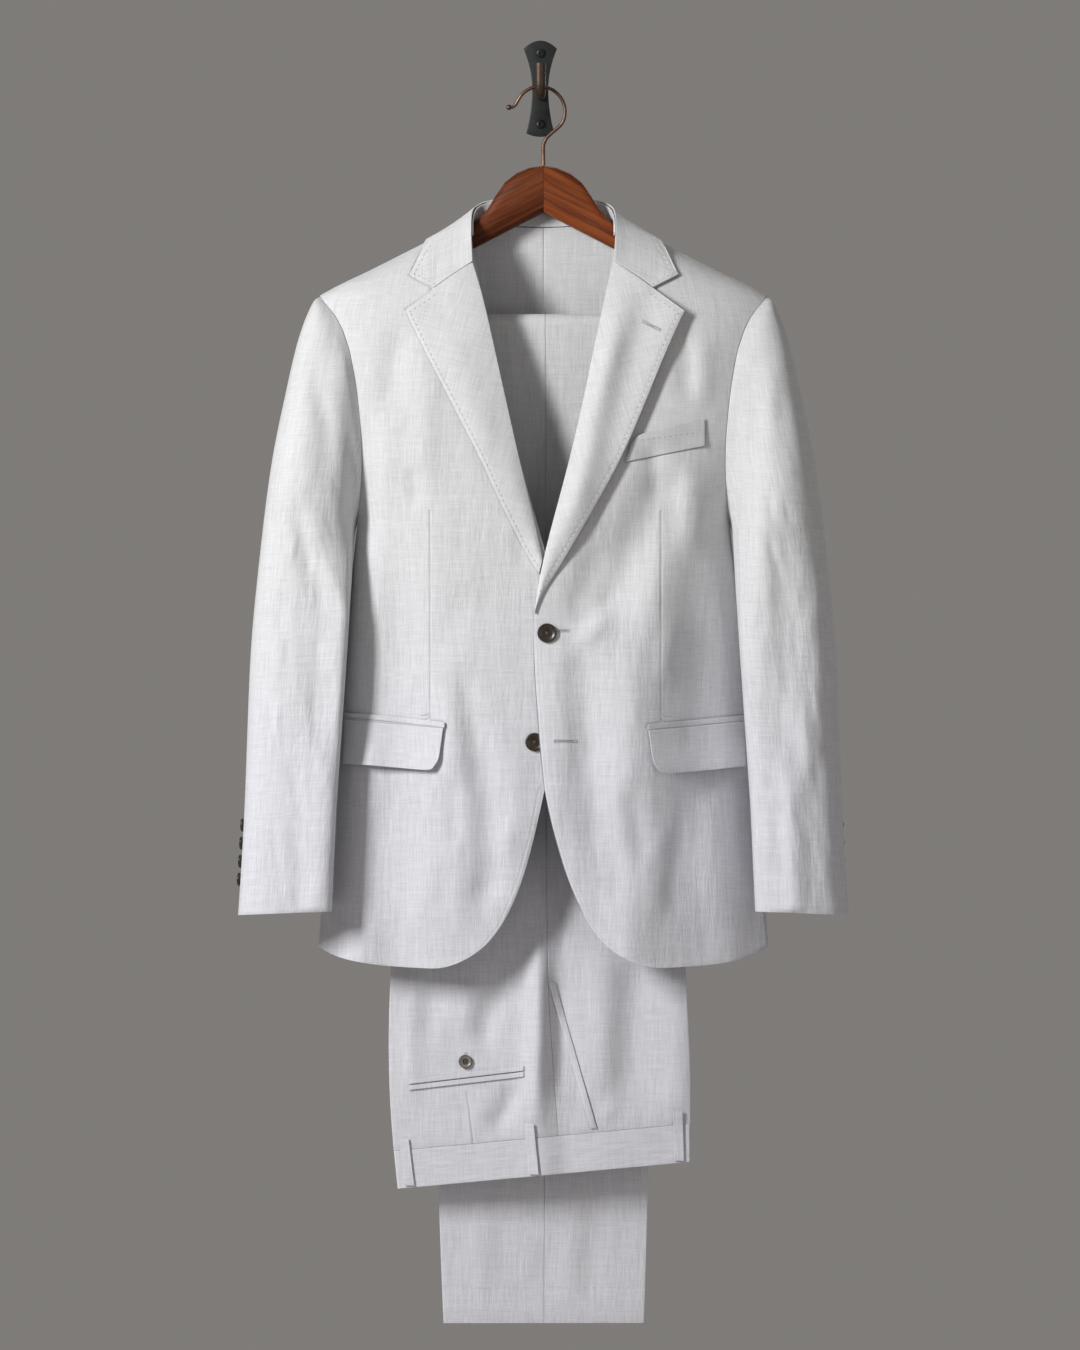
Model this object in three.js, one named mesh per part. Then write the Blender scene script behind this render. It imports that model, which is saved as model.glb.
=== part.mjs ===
// A two-piece linen suit on a contoured wooden hanger and an iron wall hook.
// Millimetres. +Z is up, the wall is the plane y = 0 and the suit hangs in front of it, towards -Y.
// The origin is the middle of the wall plate's back. +X is the wearer's left, and the names follow the wearer.
import * as THREE from 'three';

// ---- driving sizes ----------------------------------------------------------------------------
const hangOffset = 3.3;          // the suit's centre line, to one side of the wall plate
const jacketCloth = 1.5;         // linen with its fusing
const trouserCloth = 1.0;
const seamGap = 0.3;
const patchGap = 0.6;            // air between a panel and what is sewn on it

const plate = { top: 50.5, topCorner: 42, topHalf: 17.3, neckHalf: 8.3, bottomCorner: -45.3, bottomHalf: 14.6,
  bottom: -49, thick: 3 };
const peg = { radius: 5.75, height: -5.5, reach: 48, bend: 8, tip: 27 };
const screw = { radius: 4.65, thick: 3.2, heights: { top: 37.4, bottom: -36 } };

const hangerY = -36;             // plane of the hook wire and of the hanger's middle
const wire = { radius: 2, loopRadius: 25.8, loopX: -3.5, stemBottom: -79 };
const bar = { radius: 6, y: -55, height: -244.7, halfLength: 184.4 };

const underarm = { x: 192, z: -450 };
const shoulderTip = { x: 222, z: -209 };
const neckPoint = { x: 74, z: -134 };
const backNeckHeight = -143;
const armholeBow = 17;           // how far the armhole's front and back curve in towards the chest
const sideHem = -885;
const sideSeamAngle = 80;        // degrees round the body from its centre front
const backSeamAngle = 125;
const lapLift = 5.5;             // the left front rides over the right one
const turnBend = 0.16;           // how softly the front turns back to the side

// ---- tables: one row for each section ---------------------------------------------------------
// The jacket's body by height: half width, depth in front of and behind its widest line, that line's y,
// how square its front is, and where the front turns back to the side, as a share of the half width, and how much.
const bodySections = [
  { z: -134, half: 74, front: 14, back: 14, side: -38, square: 2.4, turn: 0.8, fall: 0 },
  { z: -150, half: 105.6, front: 26, back: 20, side: -40, square: 2.4, turn: 0.8, fall: 0 },
  { z: -170, half: 145, front: 36, back: 25, side: -43, square: 2.5, turn: 0.8, fall: 0 },
  { z: -190, half: 184.5, front: 43, back: 29, side: -46, square: 2.5, turn: 0.8, fall: 0 },
  { z: -209, half: 222, front: 48, back: 32, side: -49, square: 2.6, turn: 0.8, fall: 0 },
  { z: -237, half: 231, front: 54, back: 36, side: -51, square: 2.8, turn: 0.8, fall: 0 },
  { z: -268, half: 227, front: 60, back: 39, side: -52, square: 3, turn: 0.8, fall: 0 },
  { z: -313, half: 219, front: 67, back: 41, side: -52, square: 3.2, turn: 0.8, fall: 0 },
  { z: -357, half: 212, front: 71, back: 42, side: -52, square: 3.3, turn: 0.8, fall: 0.03 },
  { z: -402, half: 204, front: 74, back: 42, side: -52, square: 3.5, turn: 0.73, fall: 0.24 },
  { z: -450, half: 192, front: 76, back: 40, side: -52, square: 3.7, turn: 0.64, fall: 0.42 },
  { z: -486, half: 196.5, front: 77, back: 38, side: -51, square: 3.8, turn: 0.58, fall: 0.52 },
  { z: -530, half: 201, front: 77, back: 36, side: -50, square: 3.9, turn: 0.52, fall: 0.6 },
  { z: -590, half: 207, front: 78, back: 37, side: -50, square: 4, turn: 0.47, fall: 0.68 },
  { z: -650, half: 212.5, front: 78, back: 40, side: -50, square: 4, turn: 0.45, fall: 0.72 },
  { z: -760, half: 223, front: 74, back: 41, side: -50, square: 4, turn: 0.44, fall: 0.72 },
  { z: -910, half: 236, front: 68, back: 40, side: -50, square: 4, turn: 0.44, fall: 0.7 },
];

// Front edge, cutaway, break and roll line of each front, from hem to neck; x grows to the front's own side.
const frontEdges = {
  left: [
    { x: 107, z: -907 }, { x: 85.5, z: -903 }, { x: 64.4, z: -889 }, { x: 43.5, z: -860 }, { x: 22.5, z: -810 },
    { x: 8, z: -760 }, { x: 0, z: -724 }, { x: -5.5, z: -661 }, { x: -9.2, z: -611 }, { x: -11.8, z: -560 },
    { x: -8, z: -527 }, { x: 1.5, z: -476 }, { x: 32.4, z: -363 }, { x: 61, z: -223 }, { x: 73, z: -172 },
    { x: 74, z: -134 },
  ],
  right: [
    { x: 98.4, z: -907.6 }, { x: 80, z: -902 }, { x: 61.6, z: -890.5 }, { x: 40.7, z: -863 }, { x: 22, z: -818 },
    { x: 9, z: -771 }, { x: 0, z: -724 }, { x: -13, z: -680 }, { x: -18, z: -625 }, { x: -18, z: -560 },
    { x: -13, z: -520 }, { x: -1.5, z: -476 }, { x: 29.6, z: -363 }, { x: 65, z: -203 }, { x: 73, z: -172 },
    { x: 74, z: -134 },
  ],
};

// Lapels from the break up to the gorge: the roll line and the outer edge.
const lapelRows = {
  left: [
    { rollX: -9.5, rollZ: -541, edgeX: -8.4, edgeZ: -538 }, { rollX: -6, rollZ: -515, edgeX: 5, edgeZ: -512 },
    { rollX: 0.5, rollZ: -482, edgeX: 26, edgeZ: -477 }, { rollX: 10, rollZ: -445, edgeX: 54, edgeZ: -429 },
    { rollX: 24, rollZ: -394, edgeX: 82, edgeZ: -378 }, { rollX: 38, rollZ: -336, edgeX: 104, edgeZ: -325 },
    { rollX: 52, rollZ: -268, edgeX: 126, edgeZ: -270 }, { rollX: 65, rollZ: -206, edgeX: 144, edgeZ: -231.5 },
    { rollX: 73, rollZ: -180.2, edgeX: 144.7, edgeZ: -230 },
  ],
  right: [
    { rollX: 0.6, rollZ: -484, edgeX: 4.8, edgeZ: -501 }, { rollX: 4, rollZ: -470, edgeX: 20, edgeZ: -478 },
    { rollX: 13, rollZ: -432, edgeX: 45, edgeZ: -427 }, { rollX: 24, rollZ: -387, edgeX: 66, edgeZ: -381 },
    { rollX: 35, rollZ: -338, edgeX: 91, edgeZ: -332 }, { rollX: 47, rollZ: -284, edgeX: 117, edgeZ: -282 },
    { rollX: 60, rollZ: -225, edgeX: 138, edgeZ: -240 }, { rollX: 66, rollZ: -203, edgeX: 141.5, edgeZ: -231.5 },
    { rollX: 73, rollZ: -180.2, edgeX: 142.2, edgeZ: -228.3 },
  ],
};

// One half of the collar from its front end to the centre back: the neck seam, the fold and the leaf's edge.
// A row with behind: true lies on the jacket's back, and lift is extra air under the leaf. The front end runs down
// along the gorge seam to the notch and from there up to the leaf's point.
const collarRows = [
  { seamX: 73, seamZ: -179.5, foldX: 73.2, foldZ: -178.6, edgeX: 138.4, edgeZ: -193,
    notch: 19.3 },
  { seamX: 73.4, seamZ: -165, foldX: 74.2, foldZ: -162, edgeX: 133, edgeZ: -182 },
  { seamX: 74, seamZ: -152, foldX: 74.4, foldZ: -147, edgeX: 126.5, edgeZ: -169, lift: 0.6 },
  { seamX: 74, seamZ: -141, foldX: 74.2, foldY: -56, foldZ: -134, edgeX: 121.5, edgeZ: -161.5, lift: 1.8 },
  { seamX: 74, seamZ: -134, foldX: 72.5, foldY: -40, foldZ: -124.5, edgeX: 118, edgeZ: -157, lift: 3 },
  { seamX: 70, seamZ: -135.5, foldX: 67, foldY: -28.5, foldZ: -119, edgeX: 112, edgeZ: -160, lift: 4.6, behind: true },
  { seamX: 56, seamZ: -139, foldX: 55, foldY: -22, foldZ: -114.5, edgeX: 98, edgeZ: -164, lift: 2.4, behind: true },
  { seamX: 30, seamZ: -142, foldX: 30, foldY: -19, foldZ: -111.5, edgeX: 56, edgeZ: -167, behind: true },
  { seamX: 0, seamZ: -143, foldX: 0, foldY: -18, foldZ: -110.5, edgeX: 0, edgeZ: -168, behind: true },
];

// Sleeve rings from the armhole to the cuff: the outermost and innermost points of each, the ring's middle y,
// its half depth and how far its front and back lines bow inwards.
const sleeveRings = [
  { outX: 222, outZ: -209, inX: 192, inZ: -450, y: -57, depth: 46, bow: armholeBow },
  { outX: 232.7, outZ: -213.5, inX: 193.6, inZ: -453.5, y: -59, depth: 47, bow: 11.5 },
  { outX: 241.5, outZ: -223.5, inX: 194.4, inZ: -457, y: -62, depth: 50, bow: 7 },
  { outX: 255, outZ: -259.6, inX: 195, inZ: -463, y: -68, depth: 55, bow: 3 },
  { outX: 266, outZ: -313, inX: 195.6, inZ: -472, y: -76, depth: 59, bow: 1 },
  { outX: 278.5, outZ: -369, inX: 196.2, inZ: -484, y: -83, depth: 61, bow: 0 },
  { outX: 287, outZ: -428, inX: 197, inZ: -505, y: -89, depth: 60, bow: 0 },
  { outX: 294, outZ: -492, inX: 199, inZ: -538, y: -93, depth: 58, bow: 0 },
  { outX: 301.7, outZ: -564, inX: 202.5, inZ: -590, y: -98, depth: 55, bow: 0 },
  { outX: 305, outZ: -640, inX: 207, inZ: -652, y: -102, depth: 51, bow: 0 },
  { outX: 308, outZ: -740, inX: 213.5, inZ: -745, y: -108, depth: 46.5, bow: 0 },
  { outX: 312.4, outZ: -812, inX: 217, inZ: -812, y: -111, depth: 43.5, bow: 0 },
  { outX: 315, outZ: -852, inX: 218.4, inZ: -848, y: -112, depth: 42, bow: 0 },
];
// Degrees round each ring from its outermost point, through the front, the inside and the back.
const sleeveAngles = {
  top: [-20, -8, 8, 24, 44, 67, 90, 110, 130, 150],
  under: [150, 165, 180, 195, 212, 233, 257, 283, 308, 340],
};

// The folded trousers along their drape from the waist seam, over the bar, to the hems: where each section is,
// how far its back and front creases stand from the middle, its side seam, how far the seat and fly have grown
// towards the inseam, and how far the outer face swells.
const legSections = [
  { drop: 'front', z: -1081, back: 154.5, front: 151.8, seam: 15.6, crotch: 0, swell: 6 },
  { drop: 'front', z: -1030, back: 159, front: 152.3, seam: 11.5, crotch: 0.06, swell: 8 },
  { drop: 'front', z: -969, back: 160.3, front: 150, seam: 7, crotch: 0.18, swell: 8.5 },
  { drop: 'front', z: -906, back: 157.6, front: 146.6, seam: 4, crotch: 0.42, swell: 7 },
  { drop: 'front', z: -840, back: 154, front: 143.5, seam: 3.5, crotch: 1, swell: 5 },
  { drop: 'front', z: -700, back: 146, front: 137, seam: 3, crotch: 1, swell: 2 },
  { drop: 'front', z: -480, back: 135, front: 128, seam: 2.5, crotch: 1, swell: 0.5 },
  { drop: 'front', z: -290, back: 126, front: 121, seam: 2, crotch: 1, swell: 0 },
  ...[0, 30, 60, 90, 120, 150, 180].map((turn) => (
    { drop: 'bar', turn, back: 124 - turn / 180, front: 119, seam: 2, crotch: 1, swell: 0 })),
  { drop: 'back', z: -400, back: 119, front: 116, seam: 2, crotch: 1, swell: 0 },
  { drop: 'back', z: -640, back: 114.5, front: 113, seam: 2, crotch: 1, swell: 0 },
  { drop: 'back', z: -900, back: 111.5, front: 111, seam: 1.5, crotch: 1, swell: 0 },
  { drop: 'back', z: -1132, back: 109.3, front: 109, seam: 1, crotch: 1, swell: 0 },
  { drop: 'back', z: -1273.4, back: 103.3, front: 104.2, seam: 0.5, crotch: 1, swell: 0 },
];
const seatTuck = 60;             // how deep the seat and the fly fold in from the creases at the waist
const waistSlope = 0.092;        // the waist hangs lower on the seat's side
const waistBand = 39.5;
// Distances from the bar of each leg's outer-side and inner-side faces, in the leg and in the waistband.
const layers = {
  left: { leg: { outer: 6.9, inner: 3.9, thick: trouserCloth }, band: { outer: 7.4, inner: 3.75, thick: 1.4 } },
  right: { leg: { outer: 0.3, inner: 3.3, thick: trouserCloth }, band: { outer: -0.2, inner: 3.4, thick: 1.4 } },
};
// The soft fold that runs down beside the side seam, across the back panel from the seam to the crease.
const backFold = [{ share: 0, rise: -1 }, { share: 0.1, rise: 4.5 }, { share: 0.24, rise: 0.5 }, { share: 0.6, rise: 0 },
  { share: 1, rise: 0 }];
const frontFold = [{ share: 0, rise: -1 }, { share: 0.08, rise: -2.5 }, { share: 0.24, rise: 0 }, { share: 0.6, rise: 0 },
  { share: 1, rise: 0 }];

// The hanger's arms from the mitre at the middle to their ends.
const armSections = [
  { x: 0.15, top: -79.3, bottom: -127.7, y: -36, half: 11 },
  { x: 14, top: -81.1, bottom: -135, y: -36, half: 11 },
  { x: 28, top: -87, bottom: -142.2, y: -36, half: 11 },
  { x: 40, top: -96.6, bottom: -148.4, y: -36.5, half: 10.5 },
  { x: 50, top: -111.2, bottom: -153.6, y: -37.5, half: 10 },
  { x: 58, top: -124.5, bottom: -157.7, y: -39, half: 9 },
  { x: 72, top: -139.5, bottom: -165, y: -40, half: 9 },
  { x: 100, top: -153, bottom: -179.5, y: -40.5, half: 10 },
  { x: 130, top: -167.2, bottom: -195, y: -43.5, half: 12 },
  { x: 160, top: -182.1, bottom: -211, y: -47.5, half: 14.5 },
  { x: 180, top: -192.5, bottom: -222, y: -50, half: 17 },
  { x: 190, top: -199.5, bottom: -256, y: -51.5, half: 17 },
  { x: 200, top: -207.5, bottom: -257, y: -52.5, half: 16 },
  { x: 205, top: -217, bottom: -250, y: -53, half: 12 },
];

// ---- materials --------------------------------------------------------------------------------
const finish = (color, roughness, metalness = 0) => new THREE.MeshStandardMaterial({ color, roughness, metalness });
const suitLinen = finish(0xd3d4d6, 0.85);
const darkHorn = finish(0x211d17, 0.35);
const greyHorn = finish(0x5a564e, 0.4);
const walnut = finish(0x6b3a22, 0.45);
const copperWire = finish(0x52423a, 0.4, 0.8);
const blackIron = finish(0x2d2924, 0.55, 0.7);
const bronze = finish(0x35281e, 0.4, 0.8);

// ---- small tools ------------------------------------------------------------------------------
const radians = THREE.MathUtils.degToRad;
const mix = THREE.MathUtils.lerp;
const eased = (value, from, to) => THREE.MathUtils.smoothstep(value, from, to);
const point = (x, y, z) => new THREE.Vector3(x, y, z);

const group = new THREE.Group();
const suit = new THREE.Group();
suit.position.x = hangOffset;
group.add(suit);

function addMesh(parent, name, geometry, material) {
  const mesh = new THREE.Mesh(geometry, material);
  mesh.name = name;
  parent.add(mesh);
  return mesh;
}

// A column of a table at any height between its rows, on a smooth curve through them.
function columnAt(table, z, column) {
  const last = table.length - 2;
  let row = 0;
  while (row < last && z < table[row + 1].z) {
    row += 1;
  }
  const slope = (index) => {
    const low = Math.max(index - 1, 0);
    const high = Math.min(index + 1, table.length - 1);
    return (table[high][column] - table[low][column]) / (table[high].z - table[low].z);
  };
  const [a, b] = [table[row], table[row + 1]];
  const span = b.z - a.z;
  const f = THREE.MathUtils.clamp((z - a.z) / span, 0, 1);
  return a[column] * (1 + 2 * f) * (1 - f) ** 2 + b[column] * f * f * (3 - 2 * f)
    + slope(row) * span * f * (1 - f) ** 2 - slope(row + 1) * span * f * f * (1 - f);
}

// A closed wall between two grids of points, its outer face and its inner face.
function wallBetween(outer, inner) {
  const rows = outer.length;
  const columns = outer[0].length;
  const points = [...outer.flat(), ...inner.flat()];
  const at = (row, column) => row * columns + column;
  const far = rows * columns;
  const triangles = [];
  for (let row = 0; row < rows - 1; row += 1) {
    for (let column = 0; column < columns - 1; column += 1) {
      const [a, b, c, d] = [at(row, column), at(row, column + 1), at(row + 1, column + 1), at(row + 1, column)];
      triangles.push([a, b, c], [a, c, d]);
      triangles.push([a + far, c + far, b + far], [a + far, d + far, c + far]);
    }
  }
  const rim = [];
  for (let column = 0; column < columns - 1; column += 1) {
    rim.push([at(0, column), at(0, column + 1), false], [at(rows - 1, column + 1), at(rows - 1, column), true]);
  }
  for (let row = 0; row < rows - 1; row += 1) {
    rim.push([at(row, columns - 1), at(row + 1, columns - 1), false], [at(row + 1, 0), at(row, 0), true]);
  }
  // Opposite edges are split the same way, so that the edges of two neighbours match along their seam.
  for (const [p, q, turned] of rim) {
    triangles.push(...(turned ? [[q, p, q + far], [p, p + far, q + far]] : [[q, p, p + far], [q, p + far, q + far]]));
  }
  const volume = triangles.reduce((sum, [a, b, c]) =>
    sum + points[a].dot(point(0, 0, 0).crossVectors(points[b], points[c])), 0);
  const order = volume > 0 ? [0, 1, 2] : [0, 2, 1];
  const geometry = new THREE.BufferGeometry();
  geometry.setAttribute('position', new THREE.Float32BufferAttribute(points.flatMap((p) => p.toArray()), 3));
  geometry.setIndex(triangles.flatMap((triangle) => order.map((corner) => triangle[corner])));
  return geometry;
}

// Moves the border points of a grid inwards, so that two pieces meet with a seam's gap between them.
function insetEdges(grid, distance) {
  const rows = grid.length - 1;
  const columns = grid[0].length - 1;
  const moved = grid.map((line) => line.map((p) => p.clone()));
  const pull = (row, column, toRow, toColumn) => {
    const way = grid[toRow][toColumn].clone().sub(grid[row][column]).setLength(distance);
    moved[row][column].add(way);
  };
  for (let column = 0; column <= columns; column += 1) {
    pull(0, column, 1, column);
    pull(rows, column, rows - 1, column);
  }
  for (let row = 0; row <= rows; row += 1) {
    pull(row, 0, row, 1);
    pull(row, columns, row, columns - 1);
  }
  return moved;
}

// Normals of a grid from its own neighbouring points, turned to the side where sample lies.
function gridNormals(grid, outside) {
  return grid.map((line, row) => line.map((p, column) => {
    const along = grid[Math.min(row + 1, grid.length - 1)][column].clone()
      .sub(grid[Math.max(row - 1, 0)][column]);
    const across = line[Math.min(column + 1, line.length - 1)].clone().sub(line[Math.max(column - 1, 0)]);
    const normal = along.cross(across).normalize();
    return outside(normal, p, row, column) ? normal : normal.negate();
  }));
}

function movedAlong(grid, normals, distance) {
  return grid.map((line, row) => line.map((p, column) => p.clone().addScaledVector(normals[row][column], distance)));
}

const mirrored = (grid) => grid.map((line) => line.map((p) => point(-p.x, p.y, p.z)));
const sideOf = { left: 1, right: -1 };
const onSide = (side, grid) => (side === 'left' ? grid : mirrored(grid));

// Fills a four-sided patch from its borders, each a list of points with the same named coordinates.
function patchBetween(bottom, top, first, last, keys) {
  return first.map((start, row) => bottom.map((low, column) => {
    const v = row / (first.length - 1);
    const u = column / (bottom.length - 1);
    const high = top[column];
    const end = last[row];
    const blend = (key) => (1 - v) * low[key] + v * high[key] + (1 - u) * start[key] + u * end[key]
      - (1 - u) * (1 - v) * bottom[0][key] - u * (1 - v) * bottom[bottom.length - 1][key]
      - (1 - u) * v * top[0][key] - u * v * top[top.length - 1][key];
    return Object.fromEntries(keys.map((key) => [key, blend(key)]));
  }));
}

// ---- the jacket's body ------------------------------------------------------------------------
// A point of the body at an angle round it (0 centre front, 90 side, 180 centre back) and a height.
function bodyPoint(angle, z) {
  const sine = Math.sin(radians(angle));
  const across = Math.abs(sine);
  const behind = angle > 90;
  const square = behind ? 3 : columnAt(bodySections, z, 'square');
  const depth = behind ? columnAt(bodySections, z, 'back') : -columnAt(bodySections, z, 'front');
  const reach = depth * (1 - across ** square) ** (1 / square);
  const turn = columnAt(bodySections, z, 'turn');
  const past = behind ? 0 : Math.max(across - turn, 0) / (1 - turn);
  const bent = past ** 2 * (1 + turnBend) / (past + turnBend);
  const kept = 1 - columnAt(bodySections, z, 'fall') * bent;
  return point(columnAt(bodySections, z, 'half') * sine, columnAt(bodySections, z, 'side') + reach * kept, z);
}

function bodyNormal(angle, z) {
  const step = 0.5;
  const round = bodyPoint(angle + step, z).sub(bodyPoint(angle - step, z));
  const up = bodyPoint(angle, z + step).sub(bodyPoint(angle, z - step));
  return round.cross(up).normalize();
}

// The angle at which the body passes through x at height z.
function angleAt(x, z, behind = false) {
  const share = THREE.MathUtils.clamp(x / columnAt(bodySections, z, 'half'), -1, 1);
  const angle = THREE.MathUtils.radToDeg(Math.asin(share));
  return behind ? 180 - angle : angle;
}

// The left front stands off the right one where they lap.
function lapAt(side, x, z) {
  if (side !== 'left') {
    return 0;
  }
  const nearEdge = 1 - eased(x, -10, 110);
  return lapLift * nearEdge * eased(z, -860, -740) * (1 - eased(z, -520, -420));
}

// The armhole loop: degrees from the shoulder tip (0) down the front to the underarm (180) and up the back.
function armholeAt(degrees) {
  const cosine = Math.cos(radians(degrees));
  const sine = Math.sin(radians(degrees));
  const x = mix(underarm.x, shoulderTip.x, (1 + cosine) / 2) - armholeBow * sine * sine;
  const z = mix(underarm.z, shoulderTip.z, (1 + cosine) / 2);
  return { angle: angleAt(x, z, degrees > 180), z };
}

// A place on the body's front or back, with its outward normal.
function onBody(side, x, z, behind = false) {
  const angle = angleAt(x, z, behind);
  const place = bodyPoint(angle, z);
  place.y -= behind ? 0 : lapAt(side, x, z);
  return { place, normal: bodyNormal(angle, z) };
}

function bodyPanel(side, patch) {
  const grid = patch.map((line) => line.map(({ angle, z }) => {
    const p = bodyPoint(angle, z);
    p.y -= angle < 90 ? lapAt(side, p.x, z) : 0;
    return p;
  }));
  const normals = patch.map((line) => line.map(({ angle, z }) => bodyNormal(angle, z)));
  const outer = insetEdges(grid, seamGap / 2);
  return wallBetween(onSide(side, outer), onSide(side, movedAlong(outer, normals, -jacketCloth)));
}

// A patch of the front or back, laid out flat by x and z between borders of { angle, z }.
function flatPatch(bottom, top, first, last, behind) {
  const [low, high, start, end] = [bottom, top, first, last].map((line) => line.map(({ angle, z }) => (
    { angle, x: bodyPoint(angle, z).x, z })));
  return patchBetween(low, high, start, end, ['x', 'z']).map((line, row) => line.map(({ x, z }, column) => {
    if (column === 0) {
      return start[row];
    }
    return { angle: row === start.length - 1 ? high[column].angle : angleAt(x, z, behind), z };
  }));
}

const seamSteps = 11;
const frontColumns = 9;
const frontArmAngles = [165, ...[...sleeveAngles.top].reverse().filter((degrees) => degrees > 0)];
const frontSeamTop = armholeAt(165);

// Side seam from the hem to the armhole, then the armhole up to the shoulder tip.
function frontOuterBorder() {
  const seam = Array.from({ length: seamSteps }, (unused, step) => ({
    angle: mix(sideSeamAngle, frontSeamTop.angle, (step / seamSteps) ** 3),
    z: mix(sideHem, frontSeamTop.z, step / seamSteps),
  }));
  return [...seam, ...frontArmAngles.map(armholeAt), armholeAt(0)];
}

function runningLengths(points) {
  const lengths = [0];
  for (let index = 1; index < points.length; index += 1) {
    lengths.push(lengths[index - 1] + points[index].distanceTo(points[index - 1]));
  }
  return lengths.map((length) => length / lengths[lengths.length - 1]);
}

for (const side of ['left', 'right']) {
  const outer = frontOuterBorder();
  const shares = runningLengths(outer.map(({ angle, z }) => bodyPoint(angle, z)));
  const edge = new THREE.SplineCurve(frontEdges[side].map(({ x, z }) => new THREE.Vector2(x, z)));
  const inner = shares.map((share) => {
    const { x, y: z } = edge.getPointAt(share);
    return { angle: share === 1 ? 90 : angleAt(x, z), z };
  });
  const hemSag = 5;
  const steps = Array.from({ length: frontColumns + 1 }, (unused, column) => column / frontColumns);
  const hem = steps.map((share) => ({
    angle: mix(outer[0].angle, inner[0].angle, share),
    z: mix(outer[0].z, inner[0].z, share) - hemSag * Math.sin(Math.PI * share),
  }));
  const shoulder = steps.map((share) => ({ angle: 90, z: mix(shoulderTip.z, neckPoint.z, share) }));
  addMesh(suit, `jacket_front_${side}`, bodyPanel(side, flatPatch(hem, shoulder, outer, inner, false)), suitLinen);
}

// The side panel under the arm, from the front's side seam round to the back's.
const sidePanelArm = sleeveAngles.under.filter((degrees) => degrees >= 165 && degrees <= 233);
for (const side of ['left', 'right']) {
  const top = sidePanelArm.map(armholeAt);
  const last = top[top.length - 1];
  const share = (column) => column / (top.length - 1);
  const hem = top.map((unused, column) => ({ angle: mix(sideSeamAngle, backSeamAngle, share(column)), z: sideHem }));
  const rise = Array.from({ length: seamSteps + 1 }, (unused, step) => step / seamSteps);
  const first = rise.map((step) => ({
    angle: mix(sideSeamAngle, frontSeamTop.angle, step ** 3), z: mix(sideHem, frontSeamTop.z, step),
  }));
  const end = rise.map((step) => ({ angle: mix(backSeamAngle, last.angle, step), z: mix(sideHem, last.z, step) }));
  const patch = patchBetween(hem, top, first, end, ['angle', 'z']);
  addMesh(suit, `jacket_side_${side}`, bodyPanel(side, patch), suitLinen);
}

// The backs: side seam and armhole outside, the centre back seam inside, shoulder and neck on top.
const backNeck = [
  { x: 74, z: -134 }, { x: 66, z: -136.5 }, { x: 50, z: -139.8 }, { x: 26, z: -142.3 }, { x: 0, z: -143 },
];
for (const side of ['left', 'right']) {
  const arm = sleeveAngles.under.filter((degrees) => degrees >= 233).concat([352, 360]);
  const seamTop = armholeAt(233);
  const seam = Array.from({ length: seamSteps }, (unused, step) => ({
    angle: mix(backSeamAngle, seamTop.angle, step / seamSteps),
    z: mix(sideHem, seamTop.z, step / seamSteps),
  }));
  const outer = [...seam, ...arm.slice(0, -1).map(armholeAt), { angle: 90, z: shoulderTip.z }];
  const shares = runningLengths(outer.map(({ angle, z }) => bodyPoint(angle, z)));
  const inner = shares.map((share) => ({ angle: 180, z: mix(sideHem, backNeckHeight, share) }));
  const shoulder = [0, 0.25, 0.5, 0.75].map((share) => ({ angle: 90, z: mix(shoulderTip.z, neckPoint.z, share) }));
  const neck = backNeck.map(({ x, z }, index) => ({ angle: index === 0 ? 90 : angleAt(x, z, true), z }));
  const top = [...shoulder, ...neck];
  const hem = top.map((unused, column) => ({
    angle: mix(backSeamAngle, 180, column / (top.length - 1)), z: sideHem,
  }));
  addMesh(suit, `jacket_back_${side}`, bodyPanel(side, flatPatch(hem, top, outer, inner, true)), suitLinen);
}

// ---- lapels, collar and what lies on the fronts -----------------------------------------------
// Cloth on the body from a grid of { x, z, lift, behind }: lift is the air between it and the panel.
function patchOnBody(side, rows, thick, mirror = side) {
  const face = (extra) => rows.map((line) => line.map(({ x, z, lift = 0, behind }) => {
    const { place, normal } = onBody(side, x, z, behind);
    return place.addScaledVector(normal, patchGap + lift + extra);
  }));
  return wallBetween(onSide(mirror, face(thick)), onSide(mirror, face(0)));
}

const lapelShares = [0, 0.12, 0.35, 0.68, 1];
const lapelLift = (share) => 0.5 + 3 * Math.sin(Math.PI * share ** 0.6) ** 2;
for (const side of ['left', 'right']) {
  const rows = lapelRows[side].map(({ rollX, rollZ, edgeX, edgeZ }) => lapelShares.map((share) => ({
    x: mix(rollX, edgeX, share),
    z: mix(rollZ, edgeZ, share),
    lift: lapelLift(share),
  })));
  addMesh(suit, `jacket_lapel_${side}`, patchOnBody(side, rows, jacketCloth), suitLinen);
}

// Pocket flaps, from their upper edge down, with the round corner towards the front.
const flaps = {
  left: { frontX: 108, frontTop: -661, frontFootX: 116.4, frontFoot: -707.6, sideX: 206, sideTop: -656,
    sideFoot: -703 },
  right: { frontX: 102.5, frontTop: -651.5, frontFootX: 110.7, frontFoot: -698, sideX: 204, sideTop: -658,
    sideFoot: -705 },
};
const jetHeight = 5.5;
const flapCorner = 7;

// The x of a point on the body at a share of the angle between two others at height z.
function acrossBody(fromX, toX, z, share) {
  return bodyPoint(mix(angleAt(fromX, z), angleAt(toX, z), share), z).x;
}

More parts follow.
